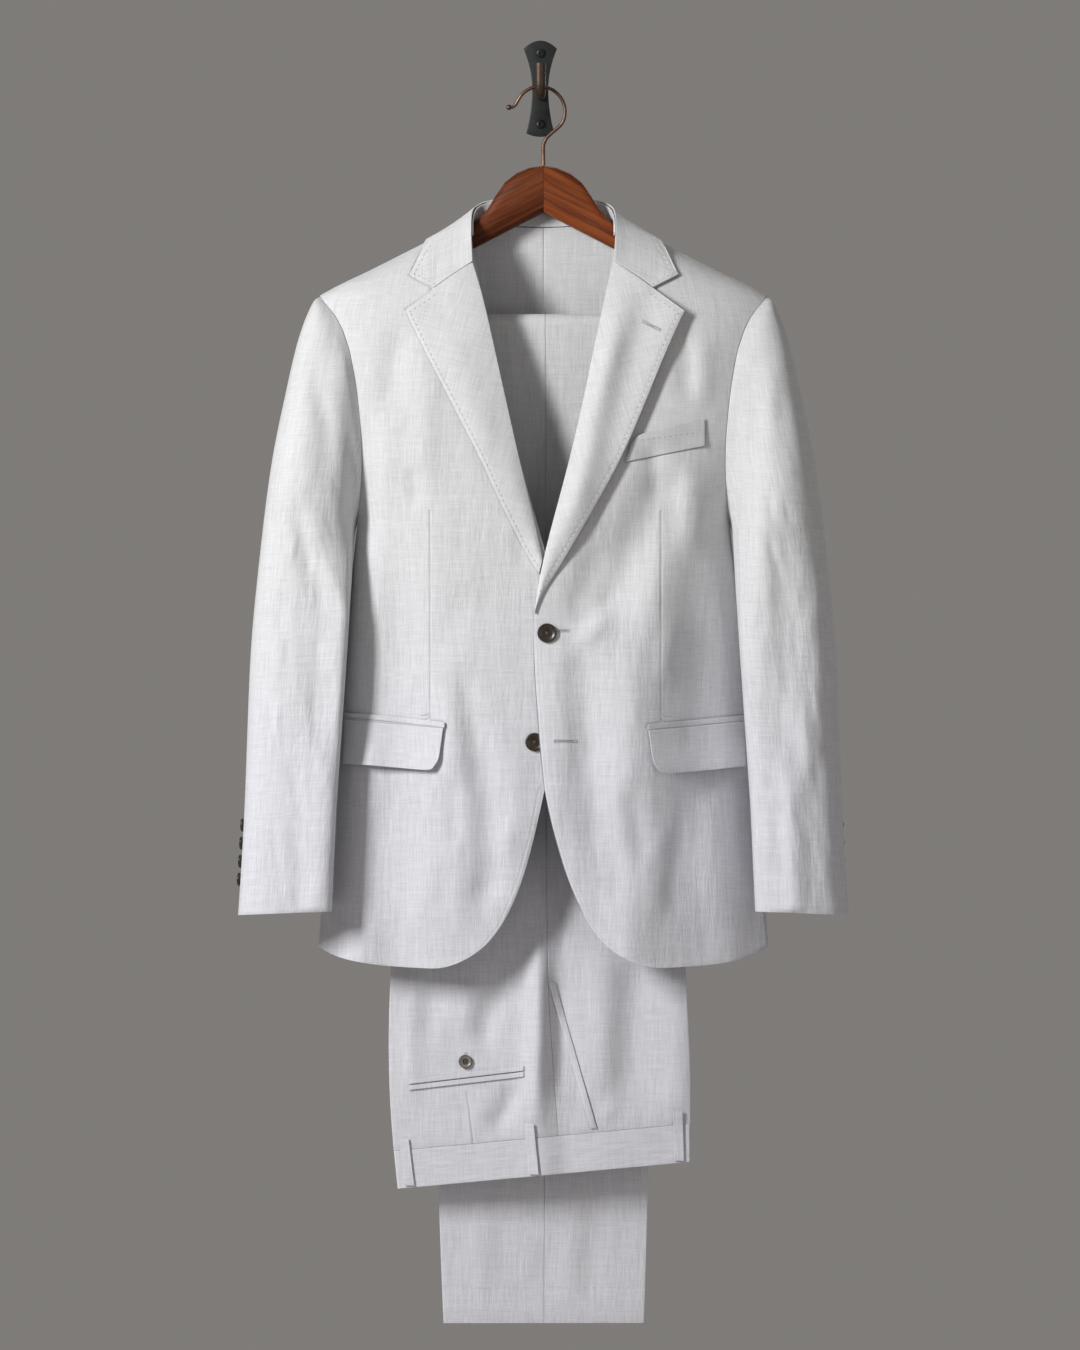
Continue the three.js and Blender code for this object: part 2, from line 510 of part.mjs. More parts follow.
const flapShares = [0, 0.06, 0.22, 0.38, 0.54, 0.7, 0.85, 1];
for (const side of ['left', 'right']) {
  const { frontX, frontTop, frontFootX, frontFoot, sideX, sideTop, sideFoot } = flaps[side];
  const flapRows = [0, 0.4, 0.75, 0.92, 1].map((down) => flapShares.map((along) => {
    const corner = along === 0 ? flapCorner * eased(down, 0.75, 1) : 0;
    const z = mix(mix(frontTop, frontFoot, down), mix(sideTop, sideFoot, down), along) + corner * 0.4;
    return {
      x: acrossBody(mix(frontX, frontFootX, down) + corner * 0.6, sideX, z, along), z, lift: 0.6 + 2 * down,
    };
  }));
  addMesh(suit, `jacket_flap_${side}`, patchOnBody(side, flapRows, jacketCloth), suitLinen);
  const jetRows = [jetHeight + seamGap, seamGap].map((rise) => flapShares.map((along) => {
    const z = mix(frontTop, sideTop, along) + rise;
    return { x: acrossBody(frontX - 1, sideX + 1, z, along), z, lift: 0.4 };
  }));
  addMesh(suit, `jacket_jet_${side}`, patchOnBody(side, jetRows, 1), suitLinen);
}

// The breast pocket's welt on the left front, its inner end under the lapel.
const welt = { innerX: 93.5, innerTop: -358, innerFootX: 83.5, innerFoot: -385.5, outerX: 165.6, outerTop: -340.6,
  outerFoot: -368.6 };
const weltRows = [0, 0.5, 1].map((down) => [0, 0.25, 0.5, 0.75, 1].map((along) => ({
  x: mix(mix(welt.innerX, welt.innerFootX, down), welt.outerX, along),
  z: mix(mix(welt.innerTop, welt.innerFoot, down), mix(welt.outerTop, welt.outerFoot, down), along),
})));
addMesh(suit, 'jacket_breast_welt', patchOnBody('left', weltRows, 1), suitLinen);

// The collar is one strip from gorge to gorge: a stand round the neck and a leaf that falls over it.
const collarPlaces = collarRows.map((row) => {
  const seam = onBody('right', row.seamX, row.seamZ, row.behind);
  const edge = onBody('right', row.edgeX, row.edgeZ, row.behind);
  const fold = point(row.foldX, row.foldY ?? seam.place.y - 3.4, row.foldZ);
  return { row, seam, edge, fold };
});
const bothHalves = (half) => [...half, ...mirrored(half.slice(0, -1)).reverse()];

const notchShare = 0.6;
const leafShares = [0, 0.2, 0.4, notchShare, 0.8, 1];
function leafFace(extra) {
  return bothHalves(collarPlaces.map(({ row, edge, fold }) => leafShares.map((share) => {
    const toNotch = Math.min(share / notchShare, (1 - share) / (1 - notchShare));
    const dip = (row.notch ?? 0) * toNotch;
    const air = patchGap + (row.lift ?? (row.notch ? lapelLift(share * 0.91) : 0));
    const { place, normal } = onBody('right', mix(row.seamX, row.edgeX, share),
      mix(row.seamZ, row.edgeZ, share) - dip, row.behind);
    const lying = place.addScaledVector(normal, air + extra);
    const hanging = fold.clone().lerp(edge.place.clone().addScaledVector(edge.normal, air), share)
      .addScaledVector(normal, extra).add(point(0, 0, -dip));
    return hanging.lerp(lying, row.behind ? share ** 2 * 0.5 : share ** 0.5);
  })));
}
addMesh(suit, 'jacket_collar', wallBetween(leafFace(jacketCloth), leafFace(0)), suitLinen);

const standRows = collarPlaces.slice(2);
function standFace(inwards) {
  return bothHalves(standRows.map(({ seam, fold, row }) => {
    const middle = point(0, hangerY, row.seamZ);
    const way = middle.sub(seam.place).setZ(0).setLength(inwards + 0.4);
    const top = fold.clone().add(way).setZ(row.foldZ - 1.2);
    const foot = seam.place.clone().add(way).setZ(seam.place.z + 0.4);
    return [0, 0.5, 1].map((rise) => foot.clone().lerp(top, rise));
  }));
}
addMesh(suit, 'jacket_collar_stand', wallBetween(standFace(0), standFace(jacketCloth)), suitLinen);

// ---- sleeves ----------------------------------------------------------------------------------
function sleevePoint(ring, degrees) {
  const row = sleeveRings[ring];
  const cosine = Math.cos(radians(degrees));
  const sine = Math.sin(radians(degrees));
  if (ring === 0) {
    const { angle, z } = armholeAt((degrees + 360) % 360);
    return bodyPoint(angle, z);
  }
  return point(
    mix(row.inX, row.outX, (1 + cosine) / 2) - row.bow * sine * sine,
    row.y - row.depth * Math.sign(sine) * Math.abs(sine) ** 0.92,
    mix(row.inZ, row.outZ, (1 + cosine) / 2),
  );
}

function sleeveNormal(ring, degrees) {
  const step = 4;
  const last = sleeveRings.length - 1;
  const round = sleevePoint(ring, degrees + step).sub(sleevePoint(ring, degrees - step));
  const down = sleevePoint(Math.min(ring + 1, last), degrees).sub(sleevePoint(Math.max(ring - 1, 0), degrees));
  const normal = round.cross(down);
  return ring === 0 ? normal.setX(Math.min(normal.x, 0)).normalize() : normal.normalize();
}

const cuffFlare = 2.5;
const sleeveSeam = 0.35;
const armholeGap = 0.7;
function sleevePanel(side, angles) {
  const grid = sleeveRings.map((unused, ring) => angles.map((degrees) => sleevePoint(ring, degrees)));
  const normals = sleeveRings.map((unused, ring) => angles.map((degrees) => sleeveNormal(ring, degrees)));
  if (angles[0] < 0) {
    grid[grid.length - 1][0].x += cuffFlare;
  }
  const outer = insetEdges(grid, sleeveSeam / 2);
  for (const p of outer[0]) {
    p.x += armholeGap;
  }
  return wallBetween(onSide(side, outer), onSide(side, movedAlong(outer, normals, -jacketCloth)));
}
for (const side of ['left', 'right']) {
  addMesh(suit, `jacket_top_sleeve_${side}`, sleevePanel(side, sleeveAngles.top), suitLinen);
  addMesh(suit, `jacket_under_sleeve_${side}`, sleevePanel(side, sleeveAngles.under), suitLinen);
}

// ---- buttons ----------------------------------------------------------------------------------
// A round button with a raised rim, its back at the origin and its face towards +Z.
function buttonGeometry(radius, thick) {
  const profile = [[0, 0], [radius * 0.8, 0], [radius, thick * 0.45], [radius * 0.92, thick], [radius * 0.72, thick],
    [radius * 0.6, thick * 0.72], [0, thick * 0.72]];
  const geometry = new THREE.LatheGeometry(profile.map(([x, y]) => new THREE.Vector2(x, y)), 14);
  return geometry.rotateX(Math.PI / 2);
}

function addButton(name, radius, thick, place, normal, material) {
  const button = addMesh(suit, name, buttonGeometry(radius, thick), material);
  button.position.copy(place);
  button.quaternion.setFromUnitVectors(point(0, 0, 1), normal);
}

const buttonGap = 0.45;
const frontButtons = [
  { name: 'jacket_button_upper', side: 'left', x: 3.6, z: -561.4, radius: 10, thick: 3.6 },
  { name: 'jacket_button_lower', side: 'right', x: 9.3, z: -673.6, radius: 9.5, thick: 2.8 },
];
for (const { name, side, x, z, radius, thick } of frontButtons) {
  const { place, normal } = onBody(side, x, z);
  const sign = sideOf[side];
  place.addScaledVector(normal, buttonGap);
  addButton(name, radius, thick, place.setX(place.x * sign), normal.setX(normal.x * sign), darkHorn);
}

const cuffButtons = { count: 4, first: -759, last: -815, degrees: -13, radius: 7, thick: 2.6 };
for (const side of ['left', 'right']) {
  for (let index = 0; index < cuffButtons.count; index += 1) {
    const z = mix(cuffButtons.first, cuffButtons.last, index / (cuffButtons.count - 1));
    const ring = sleeveRings.findIndex(({ outZ }) => outZ < z) - 1;
    const share = (z - sleeveRings[ring].outZ) / (sleeveRings[ring + 1].outZ - sleeveRings[ring].outZ);
    const along = (degrees) => sleevePoint(ring, degrees).lerp(sleevePoint(ring + 1, degrees), share);
    const normal = sleeveNormal(ring, cuffButtons.degrees);
    const place = along(cuffButtons.degrees).addScaledVector(normal, buttonGap);
    const sign = sideOf[side];
    addButton(`cuff_button_${side}_${index + 1}`, cuffButtons.radius, cuffButtons.thick,
      place.setX(place.x * sign), normal.setX(normal.x * sign), darkHorn);
  }
}

// ---- trousers ---------------------------------------------------------------------------------
const frontDrop = legSections.filter(({ drop }) => drop === 'front').reverse();

// A point of the drape: x across, distance out from the bar's surface, along the section's drop.
function drapePoint({ drop, z, turn }, x, out) {
  const reach = bar.radius + out;
  if (drop === 'bar') {
    return point(x, bar.y - reach * Math.cos(radians(turn)), bar.height + reach * Math.sin(radians(turn)));
  }
  const tilt = drop === 'front' ? waistSlope * x * (1 - eased(z, -1081, -906)) : 0;
  return point(x, drop === 'front' ? bar.y - reach : bar.y + reach, z + tilt);
}

// Across one half of a folded leg: from the side seam to the crease, round it, and back inside to the
// inseam, or to the seat or fly seam above the crotch. sign is -1 on the back crease's side, 1 on the front's.
function halfSection(section, sign, { outer, inner }, swells) {
  const crease = sign < 0 ? section.back : section.front;
  const turnRadius = Math.abs(outer - inner) / 2;
  const middle = (outer + inner) / 2;
  const away = Math.sign(outer - inner);
  const start = sign * (crease - turnRadius);
  const foldDepth = section.drop === 'front' ? 1 - eased(section.z, -860, -690) : 0;
  const across = (sign < 0 ? backFold : frontFold).map(({ share, rise }) => [
    mix(section.seam, start, share),
    outer + (swells ? section.swell * (1 - share * share) + rise * foldDepth : 0),
  ]);
  const round = [45, 90, 135].map((degrees) => [
    start + sign * turnRadius * Math.sin(radians(degrees)),
    middle + away * turnRadius * Math.cos(radians(degrees)),
  ]);
  const inside = [[start, inner], [mix(sign * (crease - seatTuck), 0, section.crotch), inner]];
  return [...across, ...round, ...inside];
}

function clothWall(grid, thick, facing) {
  const normals = gridNormals(grid, (normal, p, row, column) => true);
  const first = normals[0][facing.column];
  const sign = Math.sign(first.dot(facing.way));
  const outer = insetEdges(grid, seamGap / 2);
  return wallBetween(outer, movedAlong(outer, normals, -thick * sign));
}

for (const side of ['left', 'right']) {
  const layer = layers[side].leg;
  const facing = { column: 3, way: point(0, side === 'left' ? -1 : 1, 0) };
  for (const [panel, sign] of [['back', -1], ['front', 1]]) {
    const grid = legSections.map((section) => halfSection(section, sign, layer, side === 'left')
      .map(([x, out]) => drapePoint(section, x, out)));
    addMesh(suit, `trouser_${panel}_${side}`, clothWall(grid, layer.thick, facing), suitLinen);
  }
  const bandLayer = layers[side].band;
  const bandGrid = [0, waistBand / 2, waistBand].map((down) => {
    const section = { ...legSections[0], back: legSections[0].back - 4 * down / waistBand };
    const back = halfSection(section, -1, bandLayer, side === 'left');
    const front = halfSection(section, 1, bandLayer, side === 'left');
    return [...back.reverse(), ...front.slice(1)].map(([x, out]) => drapePoint(section, x, out).setZ(
      drapePoint(section, x, out).z - down));
  });
  const bandFacing = { column: 8, way: facing.way };
  addMesh(suit, `trouser_waistband_${side}`, clothWall(bandGrid, bandLayer.thick, bandFacing), suitLinen);
}

// The outer face of the left leg's front drop at x and z: a section of the drape and the distance out.
function legFace(x, z, extra) {
  const level = z - waistSlope * x * (1 - eased(z, -1081, -906));
  const read = (column) => columnAt(frontDrop, level, column);
  const crease = x < read('seam') ? -read('back') : read('front');
  const share = THREE.MathUtils.clamp((x - read('seam')) / (crease - read('seam')), 0, 1);
  const fold = x < read('seam') ? backFold : frontFold;
  const index = Math.max(fold.findIndex((row) => row.share >= share), 1);
  const [low, high] = [fold[index - 1], fold[index]];
  const rise = mix(low.rise, high.rise, (share - low.share) / (high.share - low.share));
  const out = layers.left.leg.outer + read('swell') * (1 - share * share) + rise * (1 - eased(level, -860, -690));
  return point(x, bar.y - bar.radius - out - extra, z);
}

function patchOnLeg(corners, rows, columns, gap, thick) {
  const [[topStart, topEnd], [footStart, footEnd]] = corners;
  const face = (extra) => rows.map((down) => columns.map((along) => {
    const x = mix(mix(topStart[0], topEnd[0], along), mix(footStart[0], footEnd[0], along), down);
    const z = mix(mix(topStart[1], topEnd[1], along), mix(footStart[1], footEnd[1], along), down);
    return legFace(x, z, extra);
  }));
  return wallBetween(face(gap + thick), face(gap));
}

// Belt loops on the waistband, each [x, z] at its top and at its foot, which hangs lowest.
const beltLoops = [
  { name: 'front', top: [138.5, -1054], foot: [140, -1105.5] },
  { name: 'side', top: [-15, -1067], foot: [-9.8, -1119.5] },
  { name: 'back', top: [-144, -1082.5], foot: [-138, -1131] },
];
const loopHalf = 5;
for (const { name, top, foot } of beltLoops) {
  const corners = [top, foot].map(([x, z]) => [[x - loopHalf, z], [x + loopHalf, z]]);
  addMesh(suit, `trouser_belt_loop_${name}`, patchOnLeg(corners, [0, 0.25, 0.6, 1], [0, 0.5, 1], 1.1, 1.4), suitLinen);
}

// Hip pocket: two narrow jets with the slit between them, and its button above.
const hipPocket = { backX: -139, backZ: -1027, sideX: -20.5, sideZ: -1013, jet: 5, slit: 1.2 };
const hipJets = { upper: hipPocket.slit / 2 + hipPocket.jet, lower: -hipPocket.slit / 2 };
for (const [name, rise] of Object.entries(hipJets)) {
  const corners = [rise, rise - hipPocket.jet].map((offset) => [
    [hipPocket.backX, hipPocket.backZ + offset], [hipPocket.sideX, hipPocket.sideZ + offset]]);
  addMesh(suit, `trouser_hip_jet_${name}`, patchOnLeg(corners, [0, 1], [0, 0.25, 0.5, 0.75, 1], patchGap, 1), suitLinen);
}
addButton('trouser_hip_button', 7, 2.8, legFace(-80.5, -1003, buttonGap), point(0, -1, 0), greyHorn);

// The slanted side pocket's turned edge.
const slantEdge = { top: [4.6, -921], foot: [47.8, -1072], width: 7 };
const slantCorners = [slantEdge.top, slantEdge.foot].map(([x, z]) => [[x, z], [x + slantEdge.width, z]]);
addMesh(suit, 'trouser_slant_pocket_edge', patchOnLeg(slantCorners, [0, 0.25, 0.5, 0.75, 1], [0, 1], patchGap, 0.8),
  suitLinen);

// ---- hanger -----------------------------------------------------------------------------------
// A closed solid through rings of equal length.
function loft(rings) {
  const sides = rings[0].length;
  const points = rings.flat();
  const triangles = [];
  for (let ring = 0; ring < rings.length - 1; ring += 1) {
    for (let step = 0; step < sides; step += 1) {
      const next = (step + 1) % sides;
      const [a, b] = [ring * sides + step, ring * sides + next];
      triangles.push([a, b, b + sides], [a, b + sides, a + sides]);
    }
  }
  const last = (rings.length - 1) * sides;
  for (let step = 1; step < sides - 1; step += 1) {
    triangles.push([0, step + 1, step], [last, last + step, last + step + 1]);
  }
  const volume = triangles.reduce((sum, [a, b, c]) =>
    sum + points[a].dot(point(0, 0, 0).crossVectors(points[b], points[c])), 0);
  const order = volume > 0 ? [0, 1, 2] : [0, 2, 1];
  const geometry = new THREE.BufferGeometry();
  geometry.setAttribute('position', new THREE.Float32BufferAttribute(points.flatMap((p) => p.toArray()), 3));
  geometry.setIndex(triangles.flatMap((triangle) => order.map((corner) => triangle[corner])));
  return geometry;
}

const armSides = 14;
const rounding = 0.75;
for (const side of ['left', 'right']) {
  const rings = armSections.map(({ x, top, bottom, y, half }) => Array.from({ length: armSides }, (unused, step) => {
    const turn = ((step + 0.5) / armSides) * 2 * Math.PI;
    const soft = (value) => Math.sign(value) * Math.abs(value) ** rounding;
    return point(x * sideOf[side], y + half * soft(Math.cos(turn)),
      (top + bottom) / 2 + ((top - bottom) / 2) * soft(Math.sin(turn)));
  }));
  addMesh(suit, `hanger_arm_${side}`, loft(rings), walnut);
}

function rodAlong(curve, radius, steps, sides) {
  const circle = new THREE.Path().absarc(0, 0, radius, 0, 2 * Math.PI);
  const section = new THREE.Shape(circle.getPoints(sides / 2).slice(0, -1));
  return new THREE.ExtrudeGeometry(section, { steps, bevelEnabled: false, extrudePath: curve });
}

const barRadius = bar.radius - 0.15;
const barGeometry = new THREE.CylinderGeometry(barRadius, barRadius, 2 * bar.halfLength, 24).rotateZ(Math.PI / 2);
addMesh(suit, 'hanger_bar', barGeometry, walnut).position.set(0, bar.y, bar.height);

// The hook: a straight stem, a wide loop over the peg and a short end that flicks outwards.
const loopTop = peg.height + peg.radius + seamGap + wire.radius;
const loopCentre = loopTop - wire.loopRadius;
const loopArc = [-28, -8, 14, 36, 58, 78, 98, 118, 138, 158].map((degrees) => point(
  wire.loopX + wire.loopRadius * Math.cos(radians(degrees)), hangerY,
  loopCentre + wire.loopRadius * Math.sin(radians(degrees))));
const hookPath = new THREE.CatmullRomCurve3([
  point(0, hangerY, wire.stemBottom), point(0, hangerY, -68), point(0, hangerY, -57.7), point(3.6, hangerY, -50),
  point(11.5, hangerY, -43), ...loopArc, point(-30.6, hangerY, -18.6), point(-35.2, hangerY, -19),
]);
addMesh(suit, 'hanger_hook', rodAlong(hookPath, wire.radius, 44, 10), copperWire);

// ---- wall hook --------------------------------------------------------------------------------
const plateShape = new THREE.Shape();
plateShape.moveTo(-plate.topHalf, plate.topCorner);
plateShape.quadraticCurveTo(-plate.neckHalf, plate.topCorner / 2, -plate.neckHalf, 0);
plateShape.quadraticCurveTo(-plate.neckHalf, plate.bottomCorner / 2, -plate.bottomHalf, plate.bottomCorner);
plateShape.quadraticCurveTo(0, 2 * plate.bottom - plate.bottomCorner, plate.bottomHalf, plate.bottomCorner);
plateShape.quadraticCurveTo(plate.neckHalf, plate.bottomCorner / 2, plate.neckHalf, 0);
plateShape.quadraticCurveTo(plate.neckHalf, plate.topCorner / 2, plate.topHalf, plate.topCorner);
plateShape.quadraticCurveTo(0, 2 * plate.top - plate.topCorner, -plate.topHalf, plate.topCorner);
const plateGeometry = new THREE.ExtrudeGeometry(plateShape, { depth: plate.thick, bevelEnabled: false, curveSegments: 8 });
addMesh(group, 'wall_plate', plateGeometry.rotateX(Math.PI / 2), blackIron);

const plateFront = -plate.thick - seamGap;
const pegBend = peg.reach - peg.bend;
const pegPath = new THREE.CurvePath();
pegPath.add(new THREE.LineCurve3(point(0, plateFront, peg.height), point(0, -pegBend, peg.height)));
const bendPoints = [0, 22.5, 45, 67.5, 90].map((degrees) => point(0, -pegBend - peg.bend * Math.sin(radians(degrees)),
  peg.height + peg.bend * (1 - Math.cos(radians(degrees)))));
pegPath.add(new THREE.CatmullRomCurve3(bendPoints));
pegPath.add(new THREE.LineCurve3(bendPoints[bendPoints.length - 1], point(0, -peg.reach, peg.tip)));
addMesh(group, 'wall_peg', rodAlong(pegPath, peg.radius, 16, 14), bronze);

for (const [name, height] of Object.entries(screw.heights)) {
  const profile = [[0, 0], [screw.radius, 0], [screw.radius, screw.thick * 0.45], [screw.radius * 0.7, screw.thick],
    [screw.radius * 0.45, screw.thick], [screw.radius * 0.45, screw.thick * 0.4], [0, screw.thick * 0.4]];
  const head = new THREE.LatheGeometry(profile.map(([x, y]) => new THREE.Vector2(x, y)), 16).rotateX(Math.PI);
  addMesh(group, `wall_screw_${name}`, head, blackIron).position.set(0, plateFront, height);
}

export default group;
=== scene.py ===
# A linen suit on its hanger and wall hook: the cloth with its folds, seams and stitches, and every finish.
import math

import bmesh
import bpy
import numpy as np
from mathutils import Matrix, Vector
from mathutils.bvhtree import BVHTree


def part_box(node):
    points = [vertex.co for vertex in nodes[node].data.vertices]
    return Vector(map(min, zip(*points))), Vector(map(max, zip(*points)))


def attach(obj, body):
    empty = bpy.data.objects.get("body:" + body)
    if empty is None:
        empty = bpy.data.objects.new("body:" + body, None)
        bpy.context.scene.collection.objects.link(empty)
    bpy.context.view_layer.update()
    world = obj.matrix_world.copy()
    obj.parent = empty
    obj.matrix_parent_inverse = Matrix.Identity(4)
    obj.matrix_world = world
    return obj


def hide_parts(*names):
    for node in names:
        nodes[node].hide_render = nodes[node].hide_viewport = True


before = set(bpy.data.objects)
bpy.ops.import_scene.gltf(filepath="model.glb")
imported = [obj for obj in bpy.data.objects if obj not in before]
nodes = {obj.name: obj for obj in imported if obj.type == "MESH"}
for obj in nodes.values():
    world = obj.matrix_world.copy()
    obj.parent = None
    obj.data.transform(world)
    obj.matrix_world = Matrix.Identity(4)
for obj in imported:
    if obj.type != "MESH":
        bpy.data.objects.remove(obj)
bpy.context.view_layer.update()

mm = 0.001
suitMiddle = 3.3   # the suit's centre line, in millimetres from the wall plate's
sides = {"left": 1, "right": -1}   # the wearer's sides, and the sign of x there

scene = bpy.context.scene
scene.view_settings.view_transform = "Standard"


def mixed(low, high, share):
    return low + (high - low) * share


def eased(value, start, end):
    share = np.clip((value - start) / (end - start), 0, 1)
    return share * share * (3 - 2 * share)


def pointsOf(mesh, value="co"):
    points = np.empty(len(mesh.vertices) * 3)
    mesh.vertices.foreach_get(value, points)
    return points.reshape(-1, 3)


def garmentPlaces(mesh):
    # Points in millimetres from the suit's centre line.
    places = pointsOf(mesh) / mm
    places[:, 0] -= suitMiddle
    return places


def putPlaces(mesh, places):
    moved = places.copy()
    moved[:, 0] += suitMiddle
    mesh.vertices.foreach_set("co", (moved * mm).ravel())
    mesh.update()


def newObject(name, mesh, material):
    piece = bpy.data.objects.new(name, mesh)
    scene.collection.objects.link(piece)
    mesh.materials.clear()
    mesh.materials.append(material)
    return piece


def finishedMesh(piece):
    # The mesh that a piece's modifiers make; the piece itself goes.
    view = bpy.context.evaluated_depsgraph_get()
    mesh = bpy.data.meshes.new_from_object(piece.evaluated_get(view))
    bpy.data.objects.remove(piece)
    return mesh


def meshOf(bm, name, smooth=True):
    mesh = bpy.data.meshes.new(name)
    bm.to_mesh(mesh)
    bm.free()
    mesh.polygons.foreach_set("use_smooth", np.full(len(mesh.polygons), smooth))
    return mesh


def standIn(name, bm, smooth=True):
    # An object that only a modifier works on or reads.
    helper = bpy.data.objects.new(name, meshOf(bm, name, smooth))
    scene.collection.objects.link(helper)
    return helper


def cutOut(body, tool):
    # The mesh of one object with the form of another taken out; both objects go.
    cutting = body.modifiers.new("cut", "BOOLEAN")
    cutting.object = tool
    cutting.solver = "EXACT"
    mesh = finishedMesh(body)
    bpy.data.objects.remove(tool)
    return mesh


def spun(profile, steps):
    # A closed form turned about z, from the reach and height of its profile's points in metres.
    bm = bmesh.new()
    verts = [bm.verts.new((reach, 0, height)) for reach, height in profile]
    edges = [bm.edges.new(pair) for pair in zip(verts[:-1], verts[1:])]
    bmesh.ops.spin(bm, geom=verts + edges, cent=(0, 0, 0), axis=(0, 0, 1), angle=2 * math.pi, steps=steps,
                   use_merge=True)
    bmesh.ops.remove_doubles(bm, verts=bm.verts, dist=1e-6)
    bmesh.ops.recalc_face_normals(bm, faces=bm.faces)
    return bm


def putValue(mesh, name, values):
    mesh.attributes.new(name, "FLOAT", "POINT").data.foreach_set("value", values.astype(np.float32))


class NodeDesk:
    # Short calls for placing and joining shader nodes in one tree.
    def __init__(self, tree):
        self.tree = tree

    def add(self, kind, **values):
        node = self.tree.nodes.new(kind)
        for key, value in values.items():
            setattr(node, key, value)
        return node

    def join(self, output, target):
        self.tree.links.new(output, target)

    def put(self, target, value):
        if isinstance(value, bpy.types.NodeSocket):
            self.join(value, target)
        elif value is not None:
            target.default_value = value

    def math(self, operation, first, second=None):
        node = self.add("ShaderNodeMath", operation=operation)
        for socket, value in zip(node.inputs, (first, second)):
            self.put(socket, value)
        return node.outputs[0]

    def plus(self, first, second):
        return self.math("ADD", first, second)

    def times(self, first, second):
        return self.math("MULTIPLY", first, second)

    def blended(self, first, firstShare, second, secondShare):
        return self.plus(self.times(first, firstShare), self.times(second, secondShare))

    def ramp(self, value, low, high, outLow=0.0, outHigh=1.0):
        node = self.add("ShaderNodeMapRange", interpolation_type="SMOOTHSTEP")
        labels = ("Value", "From Min", "From Max", "To Min", "To Max")
        for label, number in zip(labels, (value, low, high, outLow, outHigh)):
            self.put(node.inputs[label], number)
        return node.outputs["Result"]

    def noise(self, place, scale, detail=2.0, rough=0.5):
        node = self.add("ShaderNodeTexNoise")
        self.put(node.inputs["Vector"], place)
        self.put(node.inputs["Scale"], scale)
        self.put(node.inputs["Detail"], detail)
        self.put(node.inputs["Roughness"], rough)
        return node.outputs["Fac"]

    def stretched(self, place, scale, turn=(0, 0, 0), shift=(0, 0, 0)):
        node = self.add("ShaderNodeMapping")
        self.put(node.inputs["Vector"], place)
        node.inputs["Scale"].default_value = scale
        node.inputs["Rotation"].default_value = turn
        node.inputs["Location"].default_value = shift
        return node.outputs["Vector"]

    def tone(self, factor, dark, light):
        node = self.add("ShaderNodeMix", data_type="RGBA")
        self.put(node.inputs["Factor"], factor)
        self.put(node.inputs["A"], (*dark, 1) if isinstance(dark, tuple) else dark)
        self.put(node.inputs["B"], (*light, 1) if isinstance(light, tuple) else light)
        return node.outputs["Result"]

    def bump(self, height, distance, strength=1.0, normal=None):
        node = self.add("ShaderNodeBump")
        self.put(node.inputs["Height"], height)
        self.put(node.inputs["Distance"], distance)
        self.put(node.inputs["Strength"], strength)
        self.put(node.inputs["Normal"], normal)
        return node.outputs["Normal"]

    def value(self, name):
        return self.add("ShaderNodeAttribute", attribute_name=name).outputs["Fac"]

    def objectPlace(self):
        return self.add("ShaderNodeTexCoord").outputs["Object"]


def newGroup(name, inputs, outputs):
    # inputs gives each socket's kind by its name; every output is one number.
    tree = bpy.data.node_groups.new(name, "ShaderNodeTree")
    for label, kind in inputs.items():
        tree.interface.new_socket(label, in_out="INPUT", socket_type="NodeSocket" + kind)
    for label in outputs:
        tree.interface.new_socket(label, in_out="OUTPUT", socket_type="NodeSocketFloat")
    desk = NodeDesk(tree)
    return desk, desk.add("NodeGroupInput").outputs, desk.add("NodeGroupOutput").inputs


def newMaterial(name, roughness, metallic=0.0):
    material = bpy.data.materials.new(name)
    material.use_nodes = True
    material.node_tree.nodes.clear()
    desk = NodeDesk(material.node_tree)
    shader = desk.add("ShaderNodeBsdfPrincipled")
    shader.inputs["Roughness"].default_value = roughness
    shader.inputs["Metallic"].default_value = metallic
    desk.join(shader.outputs[0], desk.add("ShaderNodeOutputMaterial").inputs["Surface"])
    return material, desk, shader.inputs


weave = {
    "pitch": 0.95,          # millimetres from thread to thread
    "slubLength": 30.0,
    "slubWidth": 0.8,
    "bandWidth": 4.0,
    "bandLength": 85.0,
}


